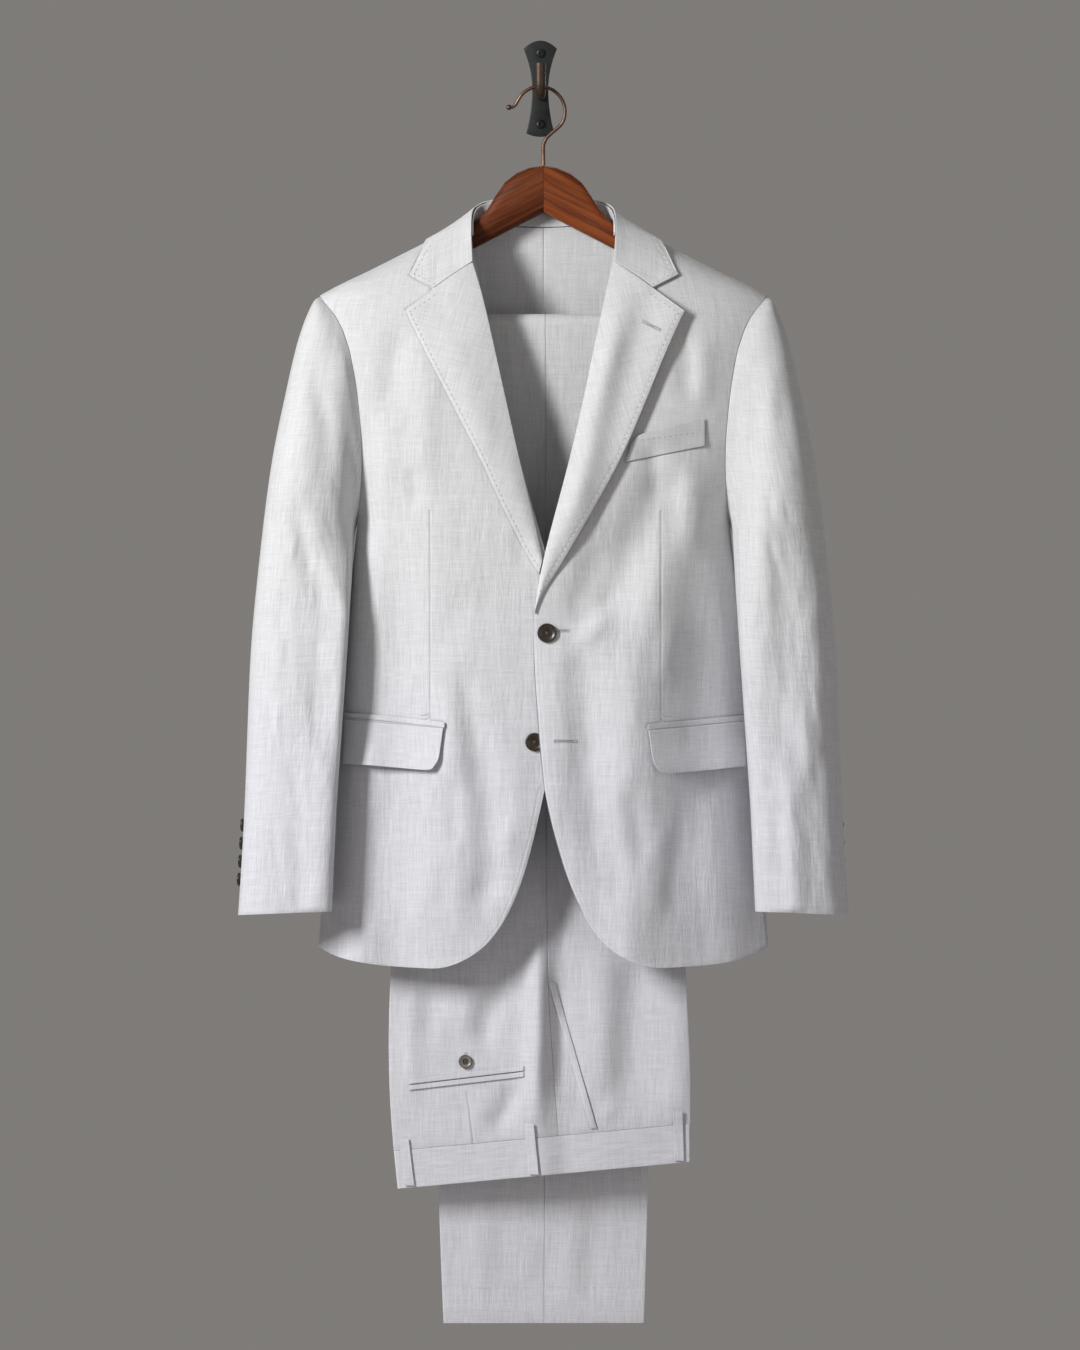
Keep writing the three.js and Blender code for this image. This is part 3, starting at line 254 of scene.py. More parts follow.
def linenWeaveGroup():
    # Plain weave on a UV map in millimetres: threads both ways, with slubs that run along them.
    desk, given, out = newGroup("linenWeave", {"UV": "Vector"}, ("Tone", "Height"))
    uv = given["UV"]
    parts = desk.add("ShaderNodeSeparateXYZ")
    desk.join(uv, parts.inputs[0])
    turn = 2 * math.pi / weave["pitch"]
    wobble = desk.times(desk.noise(uv, 0.35, 1.0), 2.2)
    warp = desk.math("SINE", desk.plus(desk.times(parts.outputs["X"], turn), wobble))
    weft = desk.math("SINE", desk.plus(desk.times(parts.outputs["Y"], turn), wobble))
    threads = desk.times(warp, weft)
    thin, long = 1 / weave["slubWidth"], 1 / weave["slubLength"]
    wide, far = 1 / weave["bandWidth"], 1 / weave["bandLength"]
    upSlub = desk.noise(desk.stretched(uv, (thin, long, 1)), 1.0, 2.0, 0.55)
    acrossSlub = desk.noise(
        desk.stretched(uv, (long * 1.2, thin * 1.1, 1), shift=(7, 3, 0)), 1.0, 2.0, 0.55)
    wideUp = desk.noise(desk.stretched(uv, (wide, far, 1), shift=(31, 5, 0)), 1.0, 2.0, 0.6)
    wideAcross = desk.noise(
        desk.stretched(uv, (far * 1.2, wide * 0.9, 1), shift=(3, 17, 0)), 1.0, 2.0, 0.6)
    slubs = desk.blended(upSlub, 0.55, acrossSlub, 0.45)
    bands = desk.blended(wideUp, 0.5, wideAcross, 0.5)
    tone = desk.blended(slubs, 0.76, bands, 0.24)
    desk.join(desk.plus(tone, desk.times(threads, 0.03)), out["Tone"])
    desk.join(desk.plus(desk.times(threads, 0.3), slubs), out["Height"])
    return desk.tree


def crinkleGroup():
    # The small uneven creases of washed linen, in millimetres: long ways up the cloth and deeper in patches.
    desk, given, out = newGroup("linenCrinkle", {"UV": "Vector"}, ("Height",))
    uv = given["UV"]
    fine = desk.noise(desk.stretched(uv, (0.3, 0.075, 1), turn=(0, 0, 0.12)), 1.0, 3.0, 0.5)
    pitted = desk.noise(desk.stretched(uv, (0.42, 0.2, 1), shift=(5, 9, 0)), 1.0, 1.0, 0.5)
    soft = desk.noise(desk.stretched(uv, (0.075, 0.017, 1), shift=(11, 4, 0)), 1.0, 2.0, 0.5)
    patch = desk.ramp(desk.noise(uv, 0.013, 2.0), 0.4, 0.62, 0.35, 1.0)
    small = desk.blended(fine, 0.55, pitted, 0.2)
    desk.join(desk.blended(soft, 1.2, small, patch), out["Height"])
    return desk.tree


weaveGroup = linenWeaveGroup()
rumpleGroup = crinkleGroup()

linen = {
    "light": (0.74, 0.743, 0.755),
    "dark": (0.565, 0.568, 0.582),
    "lowTint": (0.985, 0.98, 1.03),   # multiplies the colour in the lower half of the suit
    # seam: colour of the dark dart seams and of the painted contact shadow at the foot of pieces and along
    # pocket lines.
    "seam": (0.36, 0.36, 0.375),
    "roughness": 0.88,
    "sheen": 0.1,
}


# shade scales the whole cloth's colour; below 1 it is painted shade on a copy of the same linen.
def linenMaterial(name, shade, rumple):
    # Lines on a piece come from its attributes: lineAcross and lineNear for the dark seams of darts and for
    # painted contact shadow at the foot of a piece that lies on it and along a pocket's let-in line, and
    # grooveAcross beside its edge. rumple says how creased the cloth is.
    material, desk, slots = newMaterial(name, linen["roughness"])
    slots["Sheen Weight"].default_value = linen["sheen"]
    slots["Sheen Roughness"].default_value = 0.5
    slots["Specular IOR Level"].default_value = 0.25
    uv = desk.add("ShaderNodeUVMap", uv_map="weave").outputs[0]
    cloth = desk.add("ShaderNodeGroup", node_tree=weaveGroup)
    crinkle = desk.add("ShaderNodeGroup", node_tree=rumpleGroup)
    desk.join(uv, cloth.inputs["UV"])
    desk.join(uv, crinkle.inputs["UV"])
    dark = tuple(value * shade for value in linen["dark"])
    light = tuple(value * shade for value in linen["light"])
    colour = desk.tone(desk.ramp(cloth.outputs["Tone"], 0.35, 0.65), dark, light)
    place = desk.add("ShaderNodeSeparateXYZ")
    desk.join(desk.objectPlace(), place.inputs[0])
    tint = desk.tone(desk.ramp(place.outputs["Z"], -0.42, -0.78), (1, 1, 1), linen["lowTint"])
    tinted = desk.add("ShaderNodeVectorMath", operation="MULTIPLY")
    desk.join(colour, tinted.inputs[0])
    desk.join(tint, tinted.inputs[1])
    colour = tinted.outputs[0]
    rumpled = desk.times(crinkle.outputs["Height"], desk.value("rumple"))
    normal = desk.bump(rumpled, 0.001 * rumple, 1.0)
    normal = desk.bump(cloth.outputs["Height"], 0.00045, 0.6, normal)
    # Dark lines: the darts' own dark seams, and painted contact shadow at the foot of a piece lying on this
    # one and along pocket lines.
    across = desk.math("ABSOLUTE", desk.value("lineAcross"))
    within = desk.ramp(desk.value("lineNear"), 0.3, 0.7)
    line = desk.times(desk.ramp(across, 0.2, 0.65, 1, 0), within)
    colour = desk.tone(desk.times(line, 0.75), colour, linen["seam"])
    dip = desk.times(desk.ramp(across, 0.0, 2.4, -1, 0), within)
    normal = desk.bump(dip, 0.0006, 0.7, normal)
    groove = desk.math("ABSOLUTE", desk.math("SUBTRACT", desk.value("grooveAcross"), 5.0))
    normal = desk.bump(desk.ramp(groove, 0.0, 2.2, -1, 0), 0.0003, 0.6, normal)
    desk.join(colour, slots["Base Color"])
    desk.join(normal, slots["Normal"])
    return material


jacketLinen = linenMaterial("jacketLinen", 1.0, 0.9)
# The welt's and the trousers' linen are darker copies of the jacket's: painted shade.
weltLinenPaintedShade = linenMaterial("weltLinenPaintedShade", 0.92, 0.9)
trouserLinen = linenMaterial("trouserLinen", 0.95, 0.8)
print("materials for the cloth are ready")


def fold(x0, z0, x1, z1, width, rise, bend=0.0, head=0.35, tail=0.35):
    # head and tail are the shares of its length over which it fades in and out.
    return {"start": (x0, z0), "end": (x1, z1), "width": width, "rise": rise,
            "bend": bend, "head": head, "tail": tail}


def foldHeights(across, up, folds):
    # A fold runs from its start to its end, bent sideways; rise stands out, a negative one sinks in.
    total = np.zeros(len(across))
    for crease in folds:
        (x0, z0), (x1, z1) = crease["start"], crease["end"]
        length = math.hypot(x1 - x0, z1 - z0)
        along = ((across - x0) * (x1 - x0) + (up - z0) * (z1 - z0)) / length ** 2
        inside = np.clip(along, 0, 1)
        side = ((across - x0) * (z1 - z0) - (up - z0) * (x1 - x0)) / length
        side = side - crease["bend"] * np.sin(math.pi * inside)
        fade = eased(along, 0, crease["head"]) * eased(along, 1, 1 - crease["tail"])
        total += crease["rise"] * fade * np.exp(-(side / crease["width"]) ** 2)
    return total


def scatteredFolds(seed, count, box, length, width, rise, lean=0.0):
    # Small uneven creases over a region; the same ones on every run.
    dice = np.random.default_rng(seed)
    creases = []
    for _ in range(count):
        x = dice.uniform(box[0], box[2])
        z = dice.uniform(box[1], box[3])
        run = dice.uniform(*length)
        turn = math.radians(dice.normal(lean, 12))
        creases.append(fold(x, z, x + run * math.sin(turn), z - run * math.cos(turn), dice.uniform(*width),
                            dice.choice([-1, 1]) * dice.uniform(*rise), dice.normal(0, 3), 0.5, 0.5))
    return creases


# Millimetres: x and z of each crease's start and end, its width, its rise and its sideways bend.
frontFolds = [
    fold(140, -380, 48, -566, 28, -12.5, 0, 0.25, 0.3),
    fold(14, -540, 16, -800, 15, 3.0, 0, 0.2, 0.3),
    fold(66, -440, 22, -590, 15, -4.2, 0, 0.35, 0.4),
    fold(44, -540, 54, -820, 17, -5.2, 4, 0.25, 0.2),
    fold(86, -520, 93, -950, 24, 6.6, 3, 0.28, 0.15),
    fold(-72, -640, -58, -860, 14, -3.6, -8, 0.3, 0.2),
    fold(-98, -620, -88, -880, 17, 2.8, -4, 0.3, 0.2),
    fold(-22, -640, -34, -820, 15, 2.4, -3, 0.3, 0.3),
    fold(-188, -400, -195, -980, 31, 22.0, 0, 0.25, 0.02),
    fold(117, -450, 118, -800, 40, 10.0, 0, 0.3, 0.3),
    fold(186, -430, 193, -980, 22, 5.0, 0, 0.25, 0.02),
    fold(-142, -232, -160, -345, 13, -3.8, 4),
    fold(-122, -262, -127, -430, 15, 3.1, -3),
    fold(-137, -385, -128, -436, 10, -3.2),
    fold(-176, -300, -181, -480, 11, -2.2, 3),
    fold(-160, -330, -166, -520, 12, 2.4, 2),
    fold(-80, -585, -66, -700, 12, -3.1, 4),
    fold(-100, -600, -92, -720, 13, 2.2, -3),
    fold(-95, -700, -90, -790, 10, -3.2),
    fold(-42, -775, -78, -850, 13, -2.7, -4),
    fold(-32, -745, -68, -832, 12, 2.4, -4),
    fold(-106, -765, -130, -890, 15, 2.4, 4),
    fold(-74, -505, -104, -600, 15, -1.9, 5),
    fold(-32, -452, -14, -502, 11, -2.2),
    fold(-48, -640, -30, -740, 14, 2.0, 3),
    fold(-165, -720, -172, -880, 13, -2.4, 3),
    fold(163, -250, 165, -335, 12, 3.2),
    fold(145, -235, 150, -330, 12, -3.0),
    fold(110, -358, 119, -436, 11, -3.9),
    fold(151, -380, 153, -492, 13, 3.4, -2),
    fold(134, -380, 132, -500, 9, -2.0),
    fold(70, -470, 56, -700, 22, 4.5, 13),
    fold(28, -578, 72, -540, 9, 2.8),
    fold(30, -556, 78, -518, 9, -2.2),
    fold(141, -530, 122, -625, 11, 2.9, 3),
    fold(92, -702, 101, -812, 12, -4.4, 2),
    fold(127, -740, 116, -868, 16, 3.8, 3),
    fold(43, -688, 41, -840, 15, 3.0, 2),
    fold(70, -730, 76, -860, 11, -2.0, -3),
    fold(141, -728, 131, -880, 12, -2.5),
    fold(172, -700, 178, -880, 13, 2.8, 2),
] + scatteredFolds(4, 22, (-170, -800, 170, -300), (45, 110), (6, 11), (0.3, 0.8)) \
    + scatteredFolds(17, 60, (-150, -830, 150, -470), (22, 70), (3.2, 6.5), (0.25, 0.7))

# The back hangs from the shoulder blades in a few long folds, with a flare at the hem.
backFolds = [
    fold(150, -235, 158, -520, 14, 3.9, 5),
    fold(168, -300, 176, -560, 12, -3.6, 4),
    fold(128, -320, 120, -640, 15, -2.9, -5),
    fold(-148, -228, -160, -500, 14, 3.6, -4),
    fold(-166, -290, -178, -600, 12, -3.4, -4),
    fold(-126, -340, -116, -620, 16, -2.6, 6),
    fold(60, -190, 78, -330, 18, 2.1, 3),
    fold(-58, -190, -80, -350, 18, 2.3, -3),
    fold(22, -420, 30, -700, 16, -2.1, 4),
    fold(-24, -470, -34, -720, 15, 2.0, 4),
    fold(86, -560, 94, -900, 20, 3.1, 6),
    fold(-82, -590, -98, -900, 20, 3.4, -5),
    fold(48, -660, 44, -900, 14, -2.3),
    fold(-52, -640, -50, -900, 14, -2.1, 3),
    fold(140, -640, 150, -900, 15, -2.1),
    fold(-138, -660, -150, -900, 15, -2.2),
] + scatteredFolds(9, 24, (-150, -820, 150, -240), (60, 140), (7, 12), (0.3, 0.8))

# x runs outwards from the suit's middle on either sleeve.
sleeveFrontFolds = {
    "right": [
        fold(207, -236, 206, -470, 14, 7.5, 0, 0.3, 0.35),
        fold(242, -250, 216, -372, 10, -1.6, -4),
        fold(226, -282, 208, -420, 9, 1.4, 3),
        fold(258, -400, 222, -548, 10, -3.4, -6),
        fold(240, -420, 214, -530, 9, 2.0, -4),
        fold(268, -380, 250, -520, 15, 1.5, -4),
        fold(238, -560, 232, -690, 10, -2.2, 5),
        fold(262, -560, 256, -730, 13, 1.4, 3),
        fold(239, -620, 239, -850, 11, 4.4, 0, 0.3, 0.02),
        fold(268, -740, 262, -846, 11, 1.2),
    ] + scatteredFolds(21, 64, (206, -820, 284, -380), (26, 80), (3.0, 6.0), (0.5, 1.3), -11),
    "left": [
        fold(224, -410, 229, -660, 13, 4.6, 2, 0.2, 0.3),
        fold(252, -430, 258, -640, 12, -2.6, 6),
        fold(280, -450, 289, -700, 11, 3.0, 0),
        fold(252, -690, 258, -850, 14, 5.4, 0, 0.3, 0.02),
        fold(246, -610, 247, -700, 8, -2.2, 2),
        fold(266, -620, 279, -715, 9, 2.4, 3),
        fold(249, -640, 265, -715, 8, -2.0),
        fold(234, -280, 232, -350, 10, 2.2),
        fold(224, -300, 217, -420, 9, -1.6, 2),
        fold(243, -300, 250, -400, 9, -1.6),
        fold(286, -712, 292, -840, 11, 2.4, -3),
    ] + scatteredFolds(33, 64, (210, -820, 292, -380), (26, 80), (3.0, 6.0), (0.5, 1.3), 7),
}
sleeveBackFolds = [
    fold(238, -260, 216, -400, 10, -3.1, -4),
    fold(222, -300, 208, -450, 9, 2.8, 3),
    fold(262, -390, 226, -560, 12, -4.2, -6),
    fold(280, -420, 256, -590, 12, 3.1, -5),
    fold(236, -540, 232, -720, 10, 3.4, 4),
    fold(262, -560, 254, -740, 10, -3.4, 4),
    fold(284, -640, 280, -800, 10, 2.5),
    fold(242, -720, 246, -846, 9, -2.8, 2),
    fold(264, -740, 268, -846, 9, 2.5, -2),
]
# The sleeves' form by height: depth of their middle, depth of their front from it, inner and outer
# reach.
sleeveRings = {
    "heights": [209, 313, 428, 500, 564, 652, 740, 850],
    "middle": [-57, -74, -87, -93, -98, -103, -108, -112],
    "front": [30, 42, 56, 57, 55, 50, 47, 43],
    "inner": [216, 194, 190, 197, 201, 207, 213, 218],
    "outer": [246, 266, 287, 294, 301, 305, 308, 313],
}
# How flat the front of a hanging sleeve lies: its depth as a share of the worn one, and how square
# its inner edge is.
sleeveLie = {"right": (0.69, 3.6), "left": (0.92, 2.1)}

legFrontFolds = [
    fold(-1, -850, -9, -1100, 12.5, 12.0, 0, 0.3, 0.4),
    fold(19, -900, 20, -1062, 9, -2.8, 0, 0.4, 0.4),
    fold(-42, -905, -64, -1004, 11, -5.8, 4),
    fold(-78, -915, -84, -985, 14, 3.5),
    fold(-88, -955, -91, -1010, 6, -2.2),
    fold(-28, -1020, -54, -1080, 8, -5.8, -3),
    fold(-62, -1034, -70, -1084, 7, 2.2),
    fold(-112, -880, -118, -1000, 12, -3.2, 3),
    fold(-134, -900, -136, -1060, 9, 2.5),
    fold(60, -870, 62, -1050, 20, 5.2, -3, 0.3, 0.3),
    fold(97, -880, 88, -1066, 17, -4.8, 5, 0.3, 0.3),
    fold(143, -870, 139, -1075, 20, 6.2, 0, 0.3, 0.2),
    fold(30, -960, 38, -1070, 7, -1.9),
    fold(14, -884, 24, -880, 5, -1.5),
    fold(56, -1068, 80, -1040, 6, 2.0),
] + scatteredFolds(12, 26, (-130, -1070, 130, -900), (24, 60), (3.4, 7), (0.25, 0.7), 6)
legBackFolds = [
    fold(-50, -330, -58, -700, 16, 2.4, 5),
    fold(46, -420, 40, -820, 16, -2.0, 5),
    fold(-30, -760, -36, -1100, 14, -2.0, -4),
    fold(60, -860, 54, -1200, 15, 2.2, 4),
    fold(-60, -1120, -20, -1230, 9, -1.8, 3),
    fold(24, -1190, 60, -1240, 8, 1.5),
]
hemFolds = [
    fold(-56, -1192, -12, -1218, 6, -2.0, 2),
    fold(-12, -1205, 18, -1238, 6, -1.8),
    fold(-58, -1150, -66, -1262, 13, 2.0, 4),
    fold(52, -1140, 48, -1250, 13, -1.8, -3),
    fold(72, -1190, 92, -1222, 6, -1.7),
    fold(30, -1150, 28, -1262, 10, 1.5),
    fold(-24, -1238, 6, -1246, 4, -1.2),
]


armhole = {"tip": 222, "underarm": 192, "top": -209, "foot": -450, "bow": 17, "gap": 0.55}
# How far outwards the armhole seam lies from its plain curve, by depth, and how wide the cloth gives with it.
seamBow = {
    "depths": [209, 216, 225, 236, 250, 270, 300, 340],
    "out": [9, 7.4, 4.2, 1, -1.2, -2.4, -1.2, 0],
    "wide": 32, "sink": 0.5,
}


def armholeGap(places):
    # How far outwards a point lies from the armhole seam.
    rise = np.clip((places[:, 2] - armhole["foot"]) / (armhole["top"] - armhole["foot"]), 0, 1)
    seam = mixed(armhole["underarm"], armhole["tip"], rise) - armhole["bow"] * (1 - (2 * rise - 1) ** 2)
    return np.abs(places[:, 0]) - seam


def seamShift(places):
    # The sleeve's head is set in on a rounder line, which curves over the shoulder's end.
    out = np.interp(-places[:, 2], seamBow["depths"], seamBow["out"])
    out = out * np.clip(1 - np.abs(armholeGap(places)) / seamBow["wide"], 0, 1) ** 1.5
    down = -seamBow["sink"] * np.maximum(out, 0)
    return np.column_stack([np.sign(places[:, 0]) * out, np.zeros(len(out)), down])


bodyFade = {"front": -75, "side": -40, "back": -24}   # depths at which front folds end and back folds begin


def bodyShift(places):
    # Fronts and backs move straight towards or away from the wall, but for the armholes' seams.
    x, y, z = places.T
    shift = seamShift(places)
    shift[:, 1] = -foldHeights(x, z, frontFolds) * (1 - eased(y, bodyFade["front"], bodyFade["side"]))
    shift[:, 1] += foldHeights(x, z, backFolds) * eased(y, bodyFade["side"], bodyFade["back"])
    return shift


# How the pockets hang: rise of their front and side ends, and how far the flap's round corner reaches on.
pocketHang = {
    "left": {"front": 0.0, "side": 4.5, "from": 108},
    "right": {"front": -7.3, "side": 8.3, "from": 102.5},
}
pocketLength = 100
flapForm = {
    "top": 656, "foot": 706, "stand": 5.0,
    "corner": 3.0, "cornerDrop": 44, "cornerFrom": 112, "cornerTo": 160,
}


def pocketShift(side):
    # The jets lie on the fronts; the flaps hang a little off them at their foot.
    hang = pocketHang[side]

    def move(places):
        x, y, z = places.T
        shift = bodyShift(places)
        shift[:, 1] -= flapForm["stand"] * eased(-z, flapForm["top"], flapForm["foot"]) ** 2
        shift[:, 2] += mixed(hang["front"], hang["side"], (np.abs(x) - hang["from"]) / pocketLength)
        drop = np.clip((-z - flapForm["top"]) / flapForm["cornerDrop"], 0, 1)
        ahead = 1 - eased(np.abs(x), flapForm["cornerFrom"], flapForm["cornerTo"])
        shift[:, 0] -= np.sign(x) * flapForm["corner"] * drop * ahead
        return shift
    return move


weltForm = {"foot": -386, "slope": 0.2, "from": 83, "height": 26, "stand": 2.4, "sideEnd": 166, "full": 120}


def weltShift(places):
    # The breast pocket's welt stands open a little at its top edge.
    shift = bodyShift(places)
    x, y, z = places.T
    rise = (z - weltForm["foot"] - weltForm["slope"] * (x - weltForm["from"])) / weltForm["height"]
    shift[:, 1] -= weltForm["stand"] * np.clip(rise, 0, 1) * eased(x, weltForm["sideEnd"], weltForm["full"])
    return shift


def lapelShift(side):
    # The lapels stand off the fronts at their outer edge and swell along their roll.
    def move(places):
        shift = bodyShift(places)
        flat = places[:, [0, 2]]
        near = edgeDistance(flat, edgePath(f"lapel_{side}"))
        rise = eased(places[:, 2], lapelHang["foot"], lapelHang["free"])
        shift[:, 1] -= lapelStand[side] * (1 - eased(near, 0, lapelHang["reach"])) * rise
        shift[:, 1] -= foldHeights(flat[:, 0], flat[:, 1], lapelRoll[side])
        shift[:, 1] += lapelHang["sink"] * (1 - eased(places[:, 2], lapelHang["foot"], lapelHang["footEnd"]))
        return shift
    return move


lapelStand = {"left": 7.0, "right": 3.0}
# Heights at which a lapel's foot begins, its foot ends and it hangs free; how far in from its edge it
# stands off; and how much closer to the front its foot lies.
lapelHang = {"foot": -545, "footEnd": -480, "free": -330, "reach": 42, "sink": 1.3}
lapelRoll = {
    "left": [fold(86, -200, 16, -500, 17, 9.5, 0, 0.25, 0.3)],
    "right": [fold(-108, -215, -24, -480, 22, 4.2, 0, 0.25, 0.3)],
}


# Where a sleeve's moves begin and end: in depth from its middle, in height, and outwards from its seam.
sleeveFade = {
    "faceDepth": (-1, 6), "foldDepth": (4, 30), "tuckHeight": (440, 560), "lieHeight": (300, 500),
    "foldReach": (0, 9), "gapReach": (1, 10),
}
sleeveTuck = {"from": 0.4, "power": 2.2}   # how far out its inner edge is tucked under, and how fast


def sleeveShift(side):
    flatness, square = sleeveLie[side]
    start, rest = sleeveTuck["from"], 1 - sleeveTuck["from"]

    def move(places):
        x, y, z = places.T
        out = np.abs(x)
        middle, front, inner, outer = (
            np.interp(-z, sleeveRings["heights"], sleeveRings[key])
            for key in ("middle", "front", "inner", "outer"))
        reach = np.clip((2 * out - inner - outer) / (outer - inner), -1, 1)
        beyond = (1 + np.minimum(reach, -start)) / rest
        tucked = np.where(reach < -start, -start - rest * (1 - beyond ** sleeveTuck["power"]), reach)
        face = eased(middle - y, *sleeveFade["faceDepth"])
        tuck = face * eased(-z, *sleeveFade["tuckHeight"])
        reach = mixed(reach, tucked, tuck)
        power = np.where(reach < 0, square, 2.0)
        lying = flatness * (1 - np.abs(reach) ** power) ** (1 / power)
        worn = np.sqrt(1 - reach ** 2)
        shift = seamShift(places)
        shift[:, 0] += np.sign(x) * (inner + (1 + reach) * (outer - inner) / 2 - out) * tuck
        shift[:, 1] = front * (worn - lying) * face * eased(-z, *sleeveFade["lieHeight"])
        gap = armholeGap(places)
        ahead, behind = (eased(depth, *sleeveFade["foldDepth"]) for depth in (middle - y, y - middle))
        seam = eased(gap, *sleeveFade["foldReach"])
        shift[:, 1] -= foldHeights(out, z, sleeveFrontFolds[side]) * ahead * seam
        shift[:, 1] += foldHeights(out, z, sleeveBackFolds) * behind
        shift[:, 0] -= np.sign(x) * armhole["gap"] * (1 - eased(gap, *sleeveFade["gapReach"]))
        return shift
    return move


# The back drop's foot hangs towards the wall, one edge more than the other.
legSway = {
    "back": 14, "turn": 0.035, "curl": 0.0001, "pivot": -110,
    "depth": (-60, -55), "height": (870, 1230),
}
# Where the legs hang free of the bar, and the depths at which each of their outer faces begins.
legFaces = {
    "hanging": (262, 330), "front": (66.0, 66.8), "back": (-44.0, -43.2),
    "far": (-47.6, -46.8), "between": -55,
}


def trouserShift(places):
    # Only the outer faces move: the leg in front, the leg behind, and the far leg's face under the hem.
    x, y, z = places.T
    shift = np.zeros_like(places)
    hanging = eased(-z, *legFaces["hanging"])
    shift[:, 1] = -foldHeights(x, z, legFrontFolds) * eased(-y, *legFaces["front"]) * hanging
    shift[:, 1] += foldHeights(x, z, legBackFolds) * eased(y, *legFaces["back"]) * hanging
    far = (y > legFaces["between"]) * (1 - eased(y, *legFaces["far"]))
    shift[:, 1] -= foldHeights(x, z, hemFolds) * far * hanging
    across = np.maximum(x - legSway["pivot"], 0)
    sway = legSway["back"] + legSway["turn"] * across + legSway["curl"] * across ** 2
    shift[:, 1] += sway * eased(y, *legSway["depth"]) * eased(-z, *legSway["height"])
    return shift


def noShift(places):
    return np.zeros_like(places)


def turned(across, up, degrees):
    cosine, sine = math.cos(math.radians(degrees)), math.sin(math.radians(degrees))
    return np.column_stack([across * cosine - up * sine, across * sine + up * cosine])


def frontFlat(places):
    x, y, z = places.T
    return np.column_stack([x + np.sign(x) * np.maximum(y + 130, 0) * eased(np.abs(x), 90, 200), z])


def backFlat(places):
    x, y, z = places.T
    return np.column_stack([x + np.sign(x) * np.maximum(-8 - y, 0) * eased(np.abs(x), 90, 200) + 13, z])


def sideFlat(places):
    x, y, z = places.T
    return np.column_stack([y + 0.02 * z, z])


def sleeveFlat(places):
    x, y, z = places.T
    middle = np.interp(-z, [209, 450, 640, 850], [212, 244, 256, 267])
    depth = np.interp(-z, sleeveRings["heights"], sleeveRings["middle"])
    turn = np.arctan2(depth - y, np.abs(x) - middle)
    turn = np.where(turn < -2.4, turn + 2 * math.pi, turn)
    return np.column_stack([np.sign(x) * turn * 52, z + 0.09 * (np.abs(x) - 240)])


def lapelFlat(places):
    x, y, z = places.T
    return turned(np.abs(x), z, -15)


def collarFlat(places):
    x, y, z = places.T
    return turned(np.abs(x) + y * 0.5, z - y * 0.4, 24)


def bandFlat(places):
    # The waistband and the jets are cut along the cloth.
    x, y, z = places.T
    return np.column_stack([z - 0.092 * x, x])


def legFlat(places):
    x, y, z = places.T
    return np.column_stack([x, z])


hemStitch = -1237   # height of the hem's blind stitches
# How creased the cloth is, at the shoulders and from the waist down.
pressed = {"front": (0.45, 1.0), "back": (0.5, 1.0), "top_sleeve": (0.55, 1.2), "under_sleeve": (0.55, 1.2),
           "lapel": (0.4, 0.4), "collar": (0.35, 0.35), "flap": (0.5, 0.5), "breast_welt": (0.4, 0.4),
           "other": (0.9, 0.9)}


def pairTriangles(bm, thick):
    # The wall's triangles, joined back into its grid of quads; returns the edges between faces and rim.
    rim = {face: any(abs(edge.calc_length() / mm - thick) < 0.05 * thick for edge in face.edges)
           for face in bm.faces}
    diagonals = set()
    for face in bm.faces:
        if rim[face]:
            between = [edge for edge in face.edges if all(rim[other] for other in edge.link_faces)]
            diagonals.add(max(between, key=lambda edge: edge.calc_length()))
    seen = set()
    for start in bm.faces:
        ends = [edge for edge in start.edges if any(rim[other] for other in edge.link_faces)]
        if rim[start] or start in seen or len(ends) != 2:
            continue
        waiting = [(start, next(edge for edge in start.edges if edge not in ends))]
        while waiting:
            face, diagonal = waiting.pop()
            if face in seen:
                continue
            seen.add(face)
            diagonals.add(diagonal)
            lone = next(vert for vert in face.verts if vert not in diagonal.verts)
            for edge in face.edges:
                for other in edge.link_faces:
                    if other is face or rim[other] or other in seen:
                        continue
                    third = diagonal if edge is diagonal else next(
                        e for e in other.edges if e is not edge and lone in e.verts)
                    waiting.append((other, third))
    missed = sum(1 for face in bm.faces if not rim[face] and face not in seen)
    if missed:
        print("  triangles left unpaired:", missed)
    border = [edge for edge in bm.edges if len({rim[face] for face in edge.link_faces}) == 2]
    bmesh.ops.dissolve_edges(bm, edges=list(diagonals), use_verts=False, use_face_split=False)
    return [edge for edge in border if edge.is_valid]


def smoothWall(node, thick, levels):
    # A node's wall as a fine smooth mesh with the same borders, its rim a little rounded.
    bm = bmesh.new()
    bm.from_mesh(nodes[node].data)
    crease = bm.edges.layers.float.new("crease_edge")
    bmesh.ops.remove_doubles(bm, verts=bm.verts, dist=0.02 * mm)
    border = pairTriangles(bm, thick)
    corners = [edge for edge in bm.edges
               if edge.calc_face_angle(0) > math.radians(60) and edge.calc_length() < 1.1 * thick * mm]
    for edge in border + corners:
        edge[crease] = 1.0
    cage = standIn(node + "_cage", bm)
    smoothing = cage.modifiers.new("smoothing", "SUBSURF")
    smoothing.levels = smoothing.render_levels = levels
    fine = finishedMesh(cage)
    creased = np.zeros(len(fine.edges), np.float32)
    fine.attributes["crease_edge"].data.foreach_get("value", creased)
    fine.attributes.remove(fine.attributes["crease_edge"])
    bm = bmesh.new()
    bm.from_mesh(fine)
    bm.edges.ensure_lookup_table()
    rounded = [bm.edges[index] for index in np.flatnonzero(creased > 0.5)]
    bmesh.ops.bevel(bm, geom=rounded, offset=0.28 * thick * mm, offset_type="OFFSET", segments=2, profile=0.5,
                    affect="EDGES", clamp_overlap=True, material=-1)
    bm.to_mesh(fine)
    bm.free()
    fine.polygons.foreach_set("use_smooth", np.ones(len(fine.polygons), bool))
    return fine


def putWeave(mesh, flat):
    # flat holds a flat place in millimetres for each point.
    layer = mesh.uv_layers.new(name="weave")
    corners = np.empty(len(mesh.loops), int)
    mesh.loops.foreach_get("vertex_index", corners)
    layer.uv.foreach_set("vector", flat[corners].astype(np.float32).ravel())


